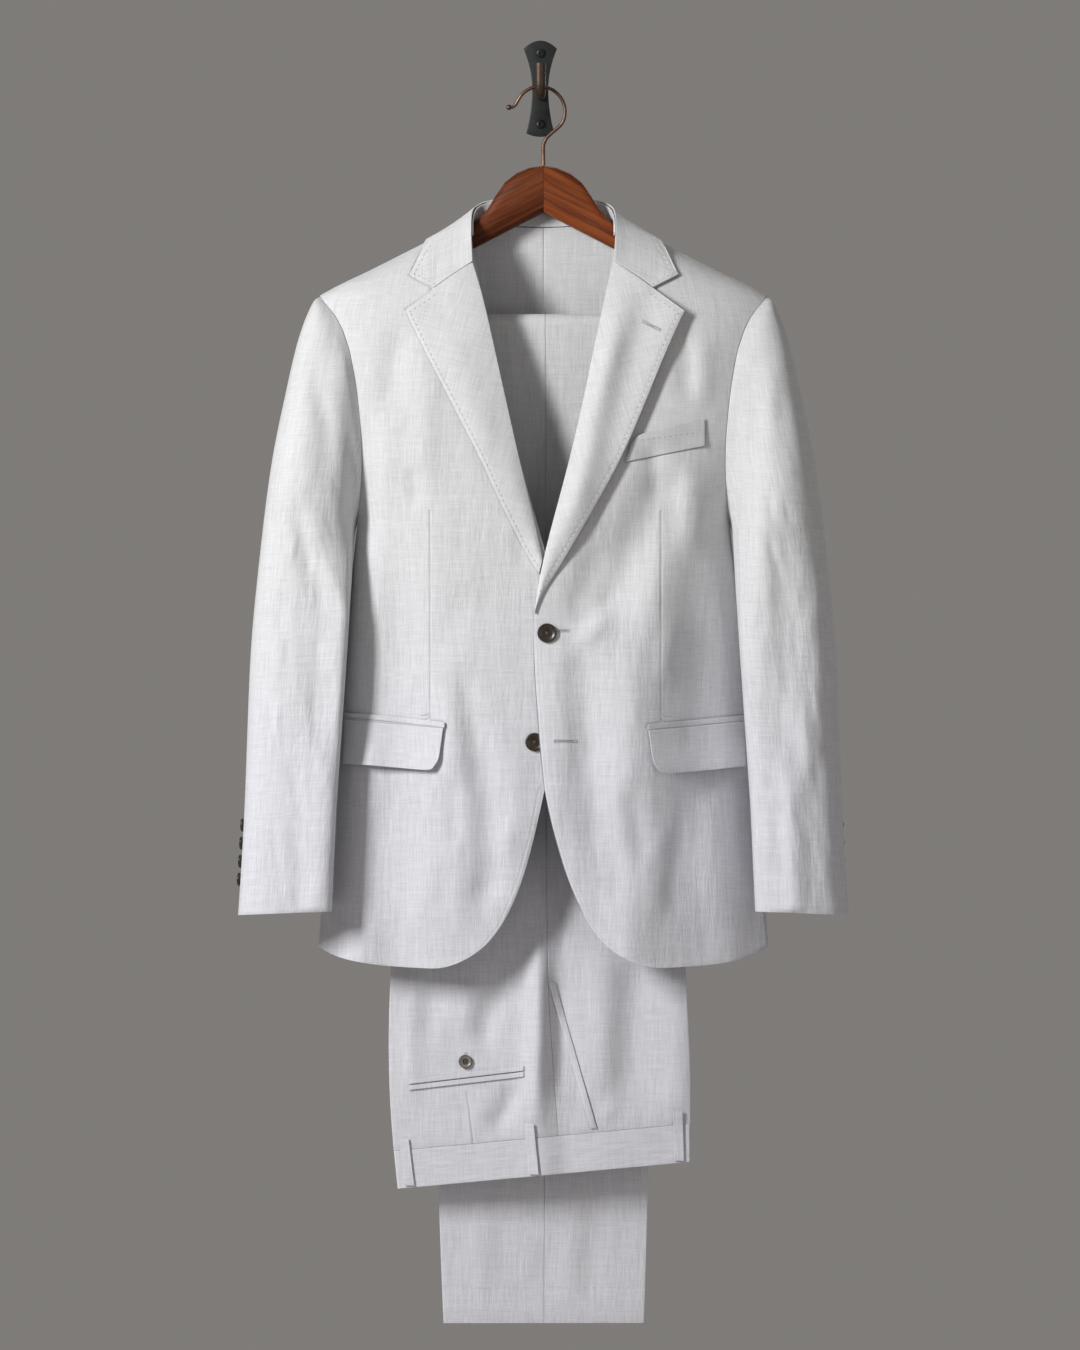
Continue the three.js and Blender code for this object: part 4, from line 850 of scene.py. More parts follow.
def edgeDistance(points, line):
    # Distance in millimetres from each flat point to a polyline.
    best = np.full(len(points), 99.0)
    for start, end in zip(line[:-1], line[1:]):
        start, end = np.array(start, float), np.array(end, float)
        share = np.clip(((points - start) @ (end - start)) / np.sum((end - start) ** 2), 0, 1)
        best = np.minimum(best, np.linalg.norm(points - (start + share[:, None] * (end - start)), axis=1))
    return best


def grooveDistance(flat, groove):
    if groove == "hem":
        return np.abs(flat[:, 1] - hemStitch) + 5
    return edgeDistance(flat, groove) if groove else np.full(len(flat), 99.0)


def lineDistance(points, line):
    # Distance in millimetres from each flat point to a polyline, the signed distance beside it, and
    # whether the point lies within its length.
    best, signed = np.full(len(points), 999.0), np.full(len(points), 9.0)
    beside = np.zeros(len(points), bool)
    last = len(line) - 2
    for index, (start, end) in enumerate(zip(line[:-1], line[1:])):
        start, way = np.array(start, float), np.array(end, float) - np.array(start, float)
        offset = points - start
        share = offset @ way / (way @ way)
        far = np.linalg.norm(offset - np.clip(share, 0, 1)[:, None] * way, axis=1)
        nearer = far < best
        best = np.where(nearer, far, best)
        aside = (offset[:, 0] * way[1] - offset[:, 1] * way[0]) / np.linalg.norm(way)
        signed = np.where(nearer, aside, signed)
        beside = np.where(nearer, ((share >= 0) | (index > 0)) & ((share <= 1) | (index < last)), beside)
    return best, signed, beside


def putLines(mesh, flat, lines):
    # lines holds polylines and how far to their side the mark lies; each point answers to the nearest one.
    across, near, best = np.full(len(flat), 9.0), np.zeros(len(flat)), np.full(len(flat), 999.0)
    for line, aside in lines:
        far, signed, beside = lineDistance(flat, line)
        nearer = far < best
        best = np.where(nearer, far, best)
        across = np.where(nearer, signed - aside, across)
        near = np.where(nearer, beside & (np.abs(signed - aside) < 4), near)
    putValue(mesh, "lineAcross", across)
    putValue(mesh, "lineNear", near)


def roundedEdge(mesh, flat, edges):
    # How far the outer face lies back close to some edges, each with its depth and width.
    back = np.zeros(len(flat))
    for edge, depth, wide in edges:
        near = np.clip(edgeDistance(flat, edge) / wide, 0, 1)
        back = np.maximum(back, depth * (1 - near) ** 2)
    return back * (pointsOf(mesh, "normal")[:, 1] < -0.3)


def clothPiece(name, node, thick, material, shift, flatten, levels=3, lines=(), groove=None,
               edges=()):
    mesh = smoothWall(node, thick, levels)
    places = garmentPlaces(mesh)
    putWeave(mesh, flatten(places))
    flat = places[:, [0, 2]]
    putLines(mesh, flat, lines)
    putValue(mesh, "grooveAcross", grooveDistance(flat, groove))
    smooth, creased = pressed.get(name.split("_cloth")[0], pressed["other"])
    putValue(mesh, "rumple", mixed(smooth, creased, eased(-places[:, 2], 300, 480)))
    moved = places + shift(places)
    moved[:, 1] += roundedEdge(mesh, flat, edges)
    putPlaces(mesh, moved)
    piece = newObject(name, mesh, material)
    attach(piece, "root")
    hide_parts(node)
    return piece


def edgePath(name):
    return list(sewnEdges[name])


# Edges with hand stitches beside them, as x and z from the suit's middle.
sewnEdges = {
    "front_left": [(107, -907), (85.5, -903), (64.4, -889), (43.5, -860), (22.5, -810), (8, -760), (0, -724),
                   (-5.5, -661), (-9.2, -611), (-11.8, -560)],
    "front_right": [(-98.4, -907.6), (-80, -902), (-61.6, -890.5), (-40.7, -863), (-22, -818), (-9, -771),
                    (0, -724)],
    "lapel_left": [(-8.4, -538), (5, -512), (26, -477), (54, -429), (82, -378), (104, -325), (126, -270),
                   (144, -231.5)],
    "lapel_right": [(-4.8, -501), (-20, -478), (-45, -427), (-66, -381), (-91, -332), (-117, -282),
                    (-138, -240), (-141.5, -231.5)],
    "collar_left": [(138.4, -193), (133, -182), (126.5, -169), (121.5, -161.5), (118, -157)],
    "collar_right": [(-138.4, -193), (-133, -182), (-126.5, -169), (-121.5, -161.5), (-118, -157)],
    "notch_left": [(144.4, -230), (112, -208)],
    "notch_right": [(-142, -228.3), (-112, -208)],
    "leaf_left": [(112.5, -207), (138.2, -193)],
    "leaf_right": [(-112.5, -207), (-138.2, -193)],
}
# Darts, drawn as dark seams, and the lines where the pockets are let in, drawn as painted contact shadow.
dartsAndShadowLines = {
    "front_left": [[(121, -434.7), (121, -654)], [(207, -645.3), (106, -654.8), (106, -661.5)],
                   [(83, -386), (166.1, -369.1), (166.1, -340.6)]],
    "front_right": [[(-117, -434.7), (-117, -650)], [(-206, -643.6), (-101.2, -652.7), (-101.2, -659)]],
    "flap_left": [[(108, -661.6), (206, -656.6)]],
    "flap_right": [[(-102.5, -652.1), (-204, -658.6)]],
    "trouser_back_left": [[(-79.8, -1030), (-72.3, -1088)]],
}
# The dark line at a piece's foot is painted contact shadow.
footShadowGap = 0.45   # from a piece's edge to the dark line at its foot


def linesOn(key, side):
    lines = [(line, 0) for line in dartsAndShadowLines.get(key, [])]
    # The fronts get painted contact shadow at the foot of the collar, the notches and the leaves.
    if key.startswith("front"):
        lines += [(edgePath(f"{edge}_{side}"), footShadowGap * sides[side]) for edge in ("collar", "notch", "leaf")]
    return lines


def rolledEdges(key):
    # Sewn edges of a piece with the depth of their roll.
    return [(edgePath(name), depth, 3.4) for name, depth in edgeRolls.get(key, {}).items()]


edgeRolls = {
    "front_left": {"front_left": 1.5},
    "front_right": {"front_right": 0.8},
    "lapel_left": {"lapel_left": 0.3, "notch_left": 0.6},
    "lapel_right": {"lapel_right": 1.0, "notch_right": 0.7},
    "collar": {"collar_left": 0.6, "collar_right": 1.0, "leaf_left": 0.6, "leaf_right": 0.7},
}

# Cutting list of the jacket: wall, flat width, length and area of one piece, and how the weave lies.
jacketCuts = [
    {"part": "front", "wall": 1.5, "cut": (0.33, 0.80, 0.175), "flat": frontFlat},
    {"part": "side", "wall": 1.5, "cut": (0.075, 0.50, 0.029), "flat": sideFlat},
    {"part": "back", "wall": 1.5, "cut": (0.29, 0.78, 0.165), "flat": backFlat},
    {"part": "lapel", "wall": 1.5, "cut": (0.13, 0.37, 0.020), "flat": lapelFlat},
    {"part": "flap", "wall": 1.5, "cut": (0.125, 0.07, 0.0062), "flat": frontFlat},
    {"part": "jet", "wall": 1.0, "cut": (0.12, 0.012, 0.0009), "flat": bandFlat, "levels": 2},
    {"part": "top_sleeve", "wall": 1.5, "cut": (0.24, 0.67, 0.105), "flat": sleeveFlat},
    {"part": "under_sleeve", "wall": 1.5, "cut": (0.22, 0.66, 0.10), "flat": sleeveFlat},
]
# Pieces that move in a way of their own; the others move with the body.
ownShift = {"lapel": lapelShift, "flap": pocketShift, "jet": pocketShift,
            "top_sleeve": sleeveShift, "under_sleeve": sleeveShift}
jacketPieces = {}
for side in sides:
    for row in jacketCuts:
        part = row["part"]
        key = f"{part}_{side}"
        jacketPieces[key] = clothPiece(
            f"{part}_cloth_{side}", f"jacket_{key}", row["wall"], jacketLinen,
            ownShift[part](side) if part in ownShift else bodyShift, row["flat"],
            row.get("levels", 3), lines=linesOn(key, side), edges=rolledEdges(key),
            groove=edgePath(key) if key in sewnEdges else None)
jacketPieces["welt"] = clothPiece(
    "breast_welt_cloth", "jacket_breast_welt", 1.0, weltLinenPaintedShade, weltShift, frontFlat)
jacketPieces["collar"] = clothPiece(
    "collar_cloth", "jacket_collar", 1.5, jacketLinen, noShift, collarFlat,
    groove=edgePath("collar_left") + edgePath("collar_right"), edges=rolledEdges("collar"))
jacketPieces["stand"] = clothPiece(
    "collar_stand_cloth", "jacket_collar_stand", 1.5, jacketLinen, noShift, collarFlat,
    2)
print("the jacket's cloth is made")

trouserCuts = [
    {"part": "front", "wall": 1.0, "cut": (0.27, 1.97, 0.47), "flat": legFlat},
    {"part": "back", "wall": 1.0, "cut": (0.31, 1.97, 0.50), "flat": legFlat},
    {"part": "waistband", "wall": 1.4, "cut": (0.46, 0.045, 0.019), "flat": bandFlat},
]
trouserPieces = {}
for side in sides:
    for row in trouserCuts:
        key = f"{row['part']}_{side}"
        trouserPieces[key] = clothPiece(
            f"trouser_{row['part']}_cloth_{side}", f"trouser_{key}", row["wall"], trouserLinen, trouserShift,
            row["flat"], lines=linesOn("trouser_" + key, side),
            groove="hem" if row["part"] != "waistband" else None)
smallCuts = [{"part": f"belt_loop_{place}", "wall": 1.4, "cut": (0.012, 0.055, 0.00064)}
             for place in ("front", "side", "back")]
smallCuts += [{"part": f"hip_jet_{place}", "wall": 1.0, "cut": (0.125, 0.012, 0.0008)}
              for place in ("upper", "lower")]
smallCuts += [
    {"part": "slant_pocket_edge", "wall": 0.8, "cut": (0.012, 0.16, 0.0013),
     "edges": [([(11.6, -921), (54.8, -1072)], 0.7, 6), ([(4.6, -921), (47.8, -1072)], 0.5, 2.5)]},
]
for row in smallCuts:
    trouserPieces[row["part"]] = clothPiece(
        f"trouser_{row['part']}_cloth", f"trouser_{row['part']}", row["wall"], trouserLinen, trouserShift,
        legFlat, 2, edges=row.get("edges", ()))
print("the trousers' cloth is made")

stitching = {
    "pitch": 5.8, "length": 2.7, "width": 0.85, "rise": 0.16, "inset": 4.4,
    "holePitch": 0.6, "holeLength": 1.8, "holeWidth": 0.55, "holeRise": 0.4, "eyeRadius": 1.5,
}


def threadAndShadeMaterial(name, dark, light):
    material, desk, slots = newMaterial(name, 0.8)
    desk.join(desk.tone(desk.noise(desk.objectPlace(), 900, 1.0), dark, light), slots["Base Color"])
    return material


# The pick and hem stitches' dark grey is partly the thread and partly painted shade of the dimples they pull
# into the cloth.
edgeThreadAndDimpleShade = threadAndShadeMaterial("edgeThreadAndDimpleShade", (0.25, 0.25, 0.26), (0.36, 0.36, 0.375))
holeThread = threadAndShadeMaterial("buttonholeThread", (0.42, 0.42, 0.44), (0.56, 0.56, 0.58))
# The slits and the buttonhole eyes are dark beads of painted shade, standing for the shade inside the
# opening.
slitPaintedShade = threadAndShadeMaterial("buttonholeSlitShade", (0.10, 0.098, 0.10), (0.17, 0.168, 0.17))


def clothTree(*pieces):
    bm = bmesh.new()
    for piece in pieces:
        bm.from_mesh(piece.data)
    tree = BVHTree.FromBMesh(bm)
    bm.free()
    return tree


def onCloth(tree, x, z, fromBack=False):
    # The cloth's place and outward normal where x and z meet it, in millimetres from the suit's middle.
    way = -1 if fromBack else 1
    start = Vector(((x + suitMiddle) * mm, -0.6 * way, z * mm))
    place, normal, _, _ = tree.ray_cast(start, Vector((0, way, 0)))
    return place, normal


def addBead(bm, place, along, normal, length, width, rise):
    # One stitch: a small long bead half sunk in the cloth, its sizes in millimetres.
    across = normal.cross(along).normalized()
    along = across.cross(normal)
    turn = Matrix((along * length / 2, across * width / 2, normal * rise)).transposed().to_4x4()
    turn.translation = place
    bmesh.ops.create_icosphere(bm, subdivisions=1, radius=mm, matrix=turn)


def walked(points, pitch, inset=0.0):
    # Even steps along a line, moved sideways by inset, each with its direction.
    points = [np.array(point, float) for point in points]
    lengths = [np.linalg.norm(b - a) for a, b in zip(points[:-1], points[1:])]
    places = np.concatenate([[0], np.cumsum(lengths)])

    def at(distance):
        return np.array([np.interp(distance, places, [point[axis] for point in points]) for axis in (0, 1)])

    for distance in np.arange(pitch / 2, places[-1], pitch):
        chord = at(distance + 9) - at(distance - 9)
        way = chord / np.linalg.norm(chord)
        yield at(distance) + inset * np.array([-way[1], way[0]]), way


def addStitches(bm, tree, points, inset, pitch=stitching["pitch"], length=stitching["length"],
                fromBack=False):
    for (x, z), (wayX, wayZ) in walked(points, pitch, inset):
        place, normal = onCloth(tree, x, z, fromBack)
        if place is not None:
            addBead(bm, place, Vector((wayX, 0, wayZ)), normal, length, stitching["width"],
                    stitching["rise"])


def addButtonhole(stitches, slits, tree, start, end, eye=False, bar=False):
    # A worked hole: a painted shadow in its slit, thread across both of its lips, and an eye or a bar at its
    # ends; the eye's hole is painted shadow too.
    start, end = np.array(start, float), np.array(end, float)
    way = (end - start) / np.linalg.norm(end - start)
    side = np.array([-way[1], way[0]])
    middle, normal = onCloth(tree, *((start + end) / 2))
    addBead(slits, middle, Vector((way[0], 0, way[1])), normal, np.linalg.norm(end - start), 0.5, 0.12)
    half = 0.15 + stitching["holeLength"] / 2
    for step in np.arange(0, np.linalg.norm(end - start), stitching["holePitch"]):
        for sign in (-1, 1):
            place, normal = onCloth(tree, *(start + way * step + side * sign * half))
            addBead(stitches, place, Vector((side[0], 0, side[1])), normal, stitching["holeLength"],
                    stitching["holeWidth"], stitching["holeRise"])
    if eye:
        place, normal = onCloth(tree, *start)
        addBead(slits, place, Vector((way[0], 0, way[1])), normal, 1.9, 1.7, 0.16)
        for turn in np.linspace(0.6, 2 * math.pi - 0.6, 13):
            out = way * math.cos(turn) + side * math.sin(turn)
            place, normal = onCloth(tree, *(start + out * (stitching["eyeRadius"] + 0.3)))
            addBead(stitches, place, Vector((out[0], 0, out[1])), normal, 1.6, 0.6, stitching["holeRise"])
    if bar:
        for move in (-0.5, 0.5):
            place, normal = onCloth(tree, *(end + way * move))
            addBead(stitches, place, Vector((side[0], 0, side[1])), normal, 4.6, 0.9, 0.6)


frontTree = clothTree(jacketPieces["front_left"])
frontTreeRight = clothTree(jacketPieces["front_right"])
lapelTrees = {side: clothTree(jacketPieces[f"lapel_{side}"]) for side in sides}
collarTree = clothTree(jacketPieces["collar"])
weltTree = clothTree(jacketPieces["welt"])
legTree = clothTree(trouserPieces["front_left"], trouserPieces["back_left"])
farLegTree = clothTree(trouserPieces["front_right"], trouserPieces["back_right"])

# Edge, surface, side of the edge the stitches lie on.
seamStitches = [
    ("front_left", frontTree, 1), ("front_right", frontTreeRight, -1),
    ("lapel_left", lapelTrees["left"], 1), ("lapel_right", lapelTrees["right"], -1),
    ("collar_left", collarTree, 1), ("collar_right", collarTree, -1),
    ("notch_left", lapelTrees["left"], 1), ("notch_right", lapelTrees["right"], -1),
    ("leaf_left", collarTree, 1), ("leaf_right", collarTree, -1),
]
bm, holeBm, slitBm = bmesh.new(), bmesh.new(), bmesh.new()
for name, tree, way in seamStitches:
    addStitches(bm, tree, edgePath(name), way * stitching["inset"])
addStitches(bm, weltTree, [(99, -363), (155, -355.5)], 0)
addStitches(holeBm, legTree, [(13, -935), (56.5, -1072)], 0, 3.6, 2.0)
for fromBack in (False, True):
    addStitches(bm, farLegTree, [(-88, hemStitch), (90, hemStitch)], 0, 9.0, 1.3, fromBack)
addButtonhole(holeBm, slitBm, frontTree, (13.6, -559), (27, -559))
addButtonhole(holeBm, slitBm, frontTree, (12.2, -672.6), (34, -672.6), eye=True, bar=True)
addButtonhole(holeBm, slitBm, lapelTrees["left"], (101.5, -240), (120, -249.5), bar=True)
addButtonhole(holeBm, slitBm, legTree, (-80.5, -1010.5), (-80.5, -994), bar=True)
for name, form, material in (("edge_stitches", bm, edgeThreadAndDimpleShade), ("buttonhole_stitches", holeBm, holeThread),
                             ("buttonhole_slits", slitBm, slitPaintedShade)):
    stitchPiece = newObject(name, meshOf(form, name), material)
    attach(stitchPiece, "root")
print("the stitches and buttonholes are sewn")

buttonShape = {
    "steps": 40, "holeRadius": 0.085, "holeSpread": 0.2, "holeSides": 14,
    "profile": [(0, 0), (0.86, 0), (0.97, 0.2), (1.0, 0.48), (0.98, 0.8), (0.9, 1.0), (0.8, 0.98), (0.7, 0.8),
                (0.6, 0.66), (0.45, 0.62), (0.3, 0.62), (0, 0.62)],
    "threadRadius": 0.34, "threadRise": 0.45,
}


def hornGroup():
    # Streaks and clouds of horn.
    desk, given, out = newGroup("hornFigure", {"Place": "Vector"}, ("Tone", "Height"))
    streaks = desk.noise(desk.stretched(given["Place"], (260, 260, 90)), 1.0, 3.0, 0.6)
    clouds = desk.noise(given["Place"], 120, 2.0)
    desk.join(desk.blended(streaks, 0.6, clouds, 0.4), out["Tone"])
    desk.join(streaks, out["Height"])
    return desk.tree


hornFigure = hornGroup()


def hornMaterial(name, dark, light, ringTone, ringShare):
    # ringTone colours the flat ring inside the rim by ringShare.
    material, desk, slots = newMaterial(name, 0.3)
    figure = desk.add("ShaderNodeGroup", node_tree=hornFigure)
    desk.join(desk.objectPlace(), figure.inputs["Place"])
    colour = desk.tone(desk.ramp(figure.outputs["Tone"], 0.38, 0.62), dark, light)
    reach = desk.value("reach")
    ring = desk.times(desk.ramp(reach, 0.42, 0.5), desk.ramp(reach, 0.86, 0.93, 1, 0))
    colour = desk.tone(desk.times(ring, ringShare), colour, ringTone)
    desk.join(colour, slots["Base Color"])
    desk.join(desk.ramp(figure.outputs["Tone"], 0.3, 0.7, 0.24, 0.38), slots["Roughness"])
    desk.join(desk.bump(figure.outputs["Height"], 0.00004), slots["Normal"])
    return material


darkHorn = hornMaterial("darkHorn", (0.010, 0.008, 0.006), (0.034, 0.024, 0.016), (0.045, 0.034, 0.022), 0.5)
greyHorn = hornMaterial("greyHorn", (0.03, 0.026, 0.021), (0.075, 0.066, 0.052), (0.20, 0.185, 0.155), 0.85)


def buttonMesh(radius, thick, name):
    # A four-hole button about z, standing on z = 0, in metres.
    profile = [(share * radius, rise * thick) for share, rise in buttonShape["profile"]]
    disc = standIn(name, spun(profile, buttonShape["steps"]))
    spread, drill = buttonShape["holeSpread"] * radius, buttonShape["holeRadius"] * radius
    bm = bmesh.new()
    for turn in range(4):
        angle = math.radians(45 + 90 * turn)
        place = Matrix.Translation((spread * math.cos(angle), spread * math.sin(angle), thick / 2))
        bmesh.ops.create_cone(bm, cap_ends=True, segments=buttonShape["holeSides"], depth=thick * 3,
                              matrix=place, radius1=drill, radius2=drill)
    mesh = cutOut(disc, standIn(name + "_drills", bm, False))
    places = pointsOf(mesh)
    putValue(mesh, "reach", np.hypot(places[:, 0], places[:, 1]) / radius)
    mesh.polygons.foreach_set("use_smooth", np.ones(len(mesh.polygons), bool))
    mesh.set_sharp_from_angle(angle=math.radians(42))
    return mesh


def addThread(bm, radius, thick, turn):
    # Two crossed strands through the holes, and the shank under the button.
    for angle in (45, 135):
        way = Vector((math.cos(math.radians(angle)), math.sin(math.radians(angle)), 0))
        reach = buttonShape["holeSpread"] * radius
        ring = bmesh.ops.create_circle(bm, segments=6, radius=buttonShape["threadRadius"] * mm)["verts"]
        edges = list({edge for vert in ring for edge in vert.link_edges})
        bmesh.ops.translate(bm, verts=ring, vec=way * reach)
        bmesh.ops.spin(bm, geom=ring + edges, cent=(0, 0, 0), axis=Vector((0, 0, 1)).cross(way),
                       angle=-math.pi, steps=10)
        strand = {vert for vert in bm.verts if not vert.tag}
        for vert in strand:
            vert.tag = True
            vert.co.z = vert.co.z * buttonShape["threadRise"] + 0.62 * thick
            vert.co = turn @ vert.co
    shank = bmesh.ops.create_cone(bm, segments=10, radius1=1.3 * mm, radius2=1.1 * mm, depth=2.2 * mm,
                                  cap_ends=False, matrix=turn @ Matrix.Translation((0, 0, -0.9 * mm)))
    for vert in shank["verts"]:
        vert.tag = True


def discOf(node):
    # A flat round node's middle, its axis, its radius and its thickness.
    places = np.unique(np.round(pointsOf(nodes[node].data), 6), axis=0)
    middle = (places.max(axis=0) + places.min(axis=0)) / 2
    axis = np.linalg.svd(places - places.mean(axis=0), full_matrices=False)[2][2]
    along = (places - middle) @ axis
    middle = middle + axis * (along.max() + along.min()) / 2
    along = (places - middle) @ axis
    reach = np.linalg.norm(places - middle - along[:, None] * axis, axis=1)
    return middle, axis, reach.max(), along.max() - along.min()


cuffMiddle = {"x": 267, "y": -112}   # the cuff's own middle, outwards from the suit's middle
cuffTurn = 14   # degrees by which the left cuff's buttons hang further round to the back
leftSleeve = clothTree(jacketPieces["top_sleeve_left"], jacketPieces["under_sleeve_left"])


def hungRound(middle, thick):
    # The place and outward direction of a left cuff button, on the sleeve's own cloth.
    centre = Vector(((suitMiddle + cuffMiddle["x"]) * mm, cuffMiddle["y"] * mm, middle.z))
    way = Matrix.Rotation(math.radians(cuffTurn), 3, "Z") @ (middle - centre)
    place, normal, _, _ = leftSleeve.ray_cast(centre + way * 1.6, -way)
    return place + normal * thick / 2, normal


buttonRows = [("jacket_button_upper", None, bodyShift, darkHorn, "dark_horn"),
              ("jacket_button_lower", None, bodyShift, darkHorn, "dark_horn"),
              ("trouser_hip_button", None, trouserShift, greyHorn, "grey_horn")]
buttonRows += [(f"cuff_button_{side}_{number}", side, sleeveShift(side), darkHorn, "dark_horn")
               for side in sides for number in (1, 2, 3, 4)]
buttonThread = threadAndShadeMaterial("buttonThread", (0.10, 0.085, 0.07), (0.2, 0.17, 0.14))
threadBm = bmesh.new()
for index, (node, side, shift, horn, slot) in enumerate(buttonRows):
    middle, axis, radius, thick = discOf(node)
    if side:
        outward = (middle[0] / mm - suitMiddle - sides[side] * cuffMiddle["x"],
                   middle[1] / mm - cuffMiddle["y"], 0)
    else:
        outward = (0, -1, 0)
    axis = Vector(axis) * (1 if Vector(axis).dot(Vector(outward)) > 0 else -1)
    spot = middle / mm - (suitMiddle, 0, 0)
    middle = Vector(middle) + Vector(shift(spot[None, :])[0]) * mm
    if side == "left":
        middle, axis = hungRound(middle, thick)
    turn = (Matrix.Translation(middle - axis * thick / 2) @ axis.to_track_quat("Z", "Y").to_matrix().to_4x4()
            @ Matrix.Rotation(0.35 * index, 4, "Z"))
    button = newObject(node + "_horn", buttonMesh(radius, thick, node + "_horn"), horn)
    button.data.transform(turn)
    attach(button, "root")
    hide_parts(node)
    addThread(threadBm, radius, thick, turn)
threads = newObject("button_threads", meshOf(threadBm, "button_threads"), buttonThread)
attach(threads, "root")
print("the buttons are sewn on")

hanger = {
    "grainTurn": 27, "grainWidth": 2.6, "grainLength": 70.0,
    "dark": (0.088, 0.019, 0.0055), "light": (0.235, 0.059, 0.0165),
    # The left arm is painted darker and the right lighter: painted shadow falling on the left arm and painted
    # sheen of the grain.
    "leftPaintedShade": 0.66, "rightPaintedLight": 1.08, "mitreShade": 0.5,
}


def woodGroup():
    # Grain that slopes down and outwards on both halves and meets in a chevron at the middle joint.
    desk, given, out = newGroup("walnutGrain", {"Place": "Vector"}, ("Tone", "Height", "Joint", "Half"))
    parts = desk.add("ShaderNodeSeparateXYZ")
    desk.join(given["Place"], parts.inputs[0])
    fromMiddle = desk.math("SUBTRACT", parts.outputs["X"], suitMiddle * mm)
    outwards = desk.math("ABSOLUTE", fromMiddle)
    slope = math.radians(hanger["grainTurn"])
    sine, cosine = math.sin(slope), math.cos(slope)
    across = desk.blended(outwards, sine, parts.outputs["Z"], cosine)
    along = desk.math("SUBTRACT", desk.times(outwards, cosine), desk.times(parts.outputs["Z"], sine))
    half = desk.ramp(fromMiddle, -0.00005, 0.00005)
    flat = desk.add("ShaderNodeCombineXYZ")
    desk.join(desk.times(across, 1 / (hanger["grainWidth"] * mm)), flat.inputs["X"])
    desk.join(desk.times(along, 1 / (hanger["grainLength"] * mm)), flat.inputs["Y"])
    desk.join(desk.blended(parts.outputs["Y"], 60.0, half, 7.3), flat.inputs["Z"])
    bands = desk.noise(flat.outputs[0], 0.45, 2.0, 0.5)
    lines = desk.noise(desk.stretched(flat.outputs[0], (3.0, 2.2, 1)), 1.0, 4.0, 0.62)
    pores = desk.noise(desk.stretched(flat.outputs[0], (9.0, 12.0, 1)), 1.0, 2.0, 0.5)
    tone = desk.blended(bands, 0.55, lines, 0.45)
    desk.join(tone, out["Tone"])
    desk.join(desk.plus(lines, desk.times(desk.ramp(pores, 0.3, 0.42), 0.8)), out["Height"])
    desk.join(desk.ramp(outwards, 0.00015, 0.0006, 1, 0), out["Joint"])
    desk.join(half, out["Half"])
    return desk.tree


def walnutMaterial():
    material, desk, slots = newMaterial("walnut", 0.4)
    slots["Specular IOR Level"].default_value = 0.16
    grain = desk.add("ShaderNodeGroup", node_tree=woodGroup())
    desk.join(desk.objectPlace(), grain.inputs["Place"])
    colour = desk.tone(desk.ramp(grain.outputs["Tone"], 0.36, 0.64), hanger["dark"], hanger["light"])
    # Painted shade on the left half and painted light on the right half.
    shade = desk.ramp(grain.outputs["Half"], 0, 1, hanger["leftPaintedShade"], hanger["rightPaintedLight"])
    shaded = desk.add("ShaderNodeVectorMath", operation="SCALE")
    desk.join(colour, shaded.inputs[0])
    desk.join(shade, shaded.inputs["Scale"])
    joint = desk.times(grain.outputs["Joint"], hanger["mitreShade"])
    desk.join(desk.tone(joint, shaded.outputs[0], (0.02, 0.007, 0.004)), slots["Base Color"])
    desk.join(desk.ramp(grain.outputs["Tone"], 0.35, 0.65, 0.52, 0.4), slots["Roughness"])
    desk.join(desk.bump(grain.outputs["Height"], 0.00008, 0.8), slots["Normal"])
    return material


def refined(node, name, material, sharp=50, levels=0, bevel=0.0, cuts=2, quads=True, joint=None):
    # A merged copy of a node with rounded edges and smooth sides; joint is the plane of a face that is
    # glued to its twin.
    bm = bmesh.new()
    bm.from_mesh(nodes[node].data)
    crease = bm.edges.layers.float.new("crease_edge")
    bmesh.ops.remove_doubles(bm, verts=bm.verts, dist=0.005 * mm)
    bmesh.ops.dissolve_limit(bm, angle_limit=math.radians(0.5), verts=bm.verts, edges=bm.edges)
    if quads:
        bmesh.ops.join_triangles(bm, faces=[face for face in bm.faces if len(face.verts) == 3],
                                 angle_face_threshold=math.radians(40),
                                 angle_shape_threshold=math.radians(180))
    corners = [edge for edge in bm.edges if edge.calc_face_angle(0) > math.radians(sharp)]
    if joint is not None:
        glued = [vert for vert in bm.verts if abs(vert.co.x / mm - joint) < 0.4]
        for vert in glued:
            vert.co.x = joint * mm
        corners = [edge for edge in corners if not all(vert in glued for vert in edge.verts)]
    if levels and not bevel:
        for edge in corners:
            edge[crease] = 1.0
    if bevel:
        bmesh.ops.bevel(bm, geom=corners, offset=bevel * mm, offset_type="OFFSET", segments=cuts, profile=0.5,
                        affect="EDGES", clamp_overlap=True, material=-1)
    piece = newObject(name, meshOf(bm, name), material)
    if levels:
        smoothing = piece.modifiers.new("smoothing", "SUBSURF")
        smoothing.levels = smoothing.render_levels = levels
    piece.data.set_sharp_from_angle(angle=math.radians(50))
    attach(piece, "root")
    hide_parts(node)
    return piece


walnut = walnutMaterial()
for side in sides:
    refined(f"hanger_arm_{side}", f"hanger_wood_{side}", walnut, bevel=0.25, joint=suitMiddle)
refined("hanger_bar", "trouser_bar_wood", walnut, bevel=1.2, cuts=3)
print("the wood of the hanger is ready")

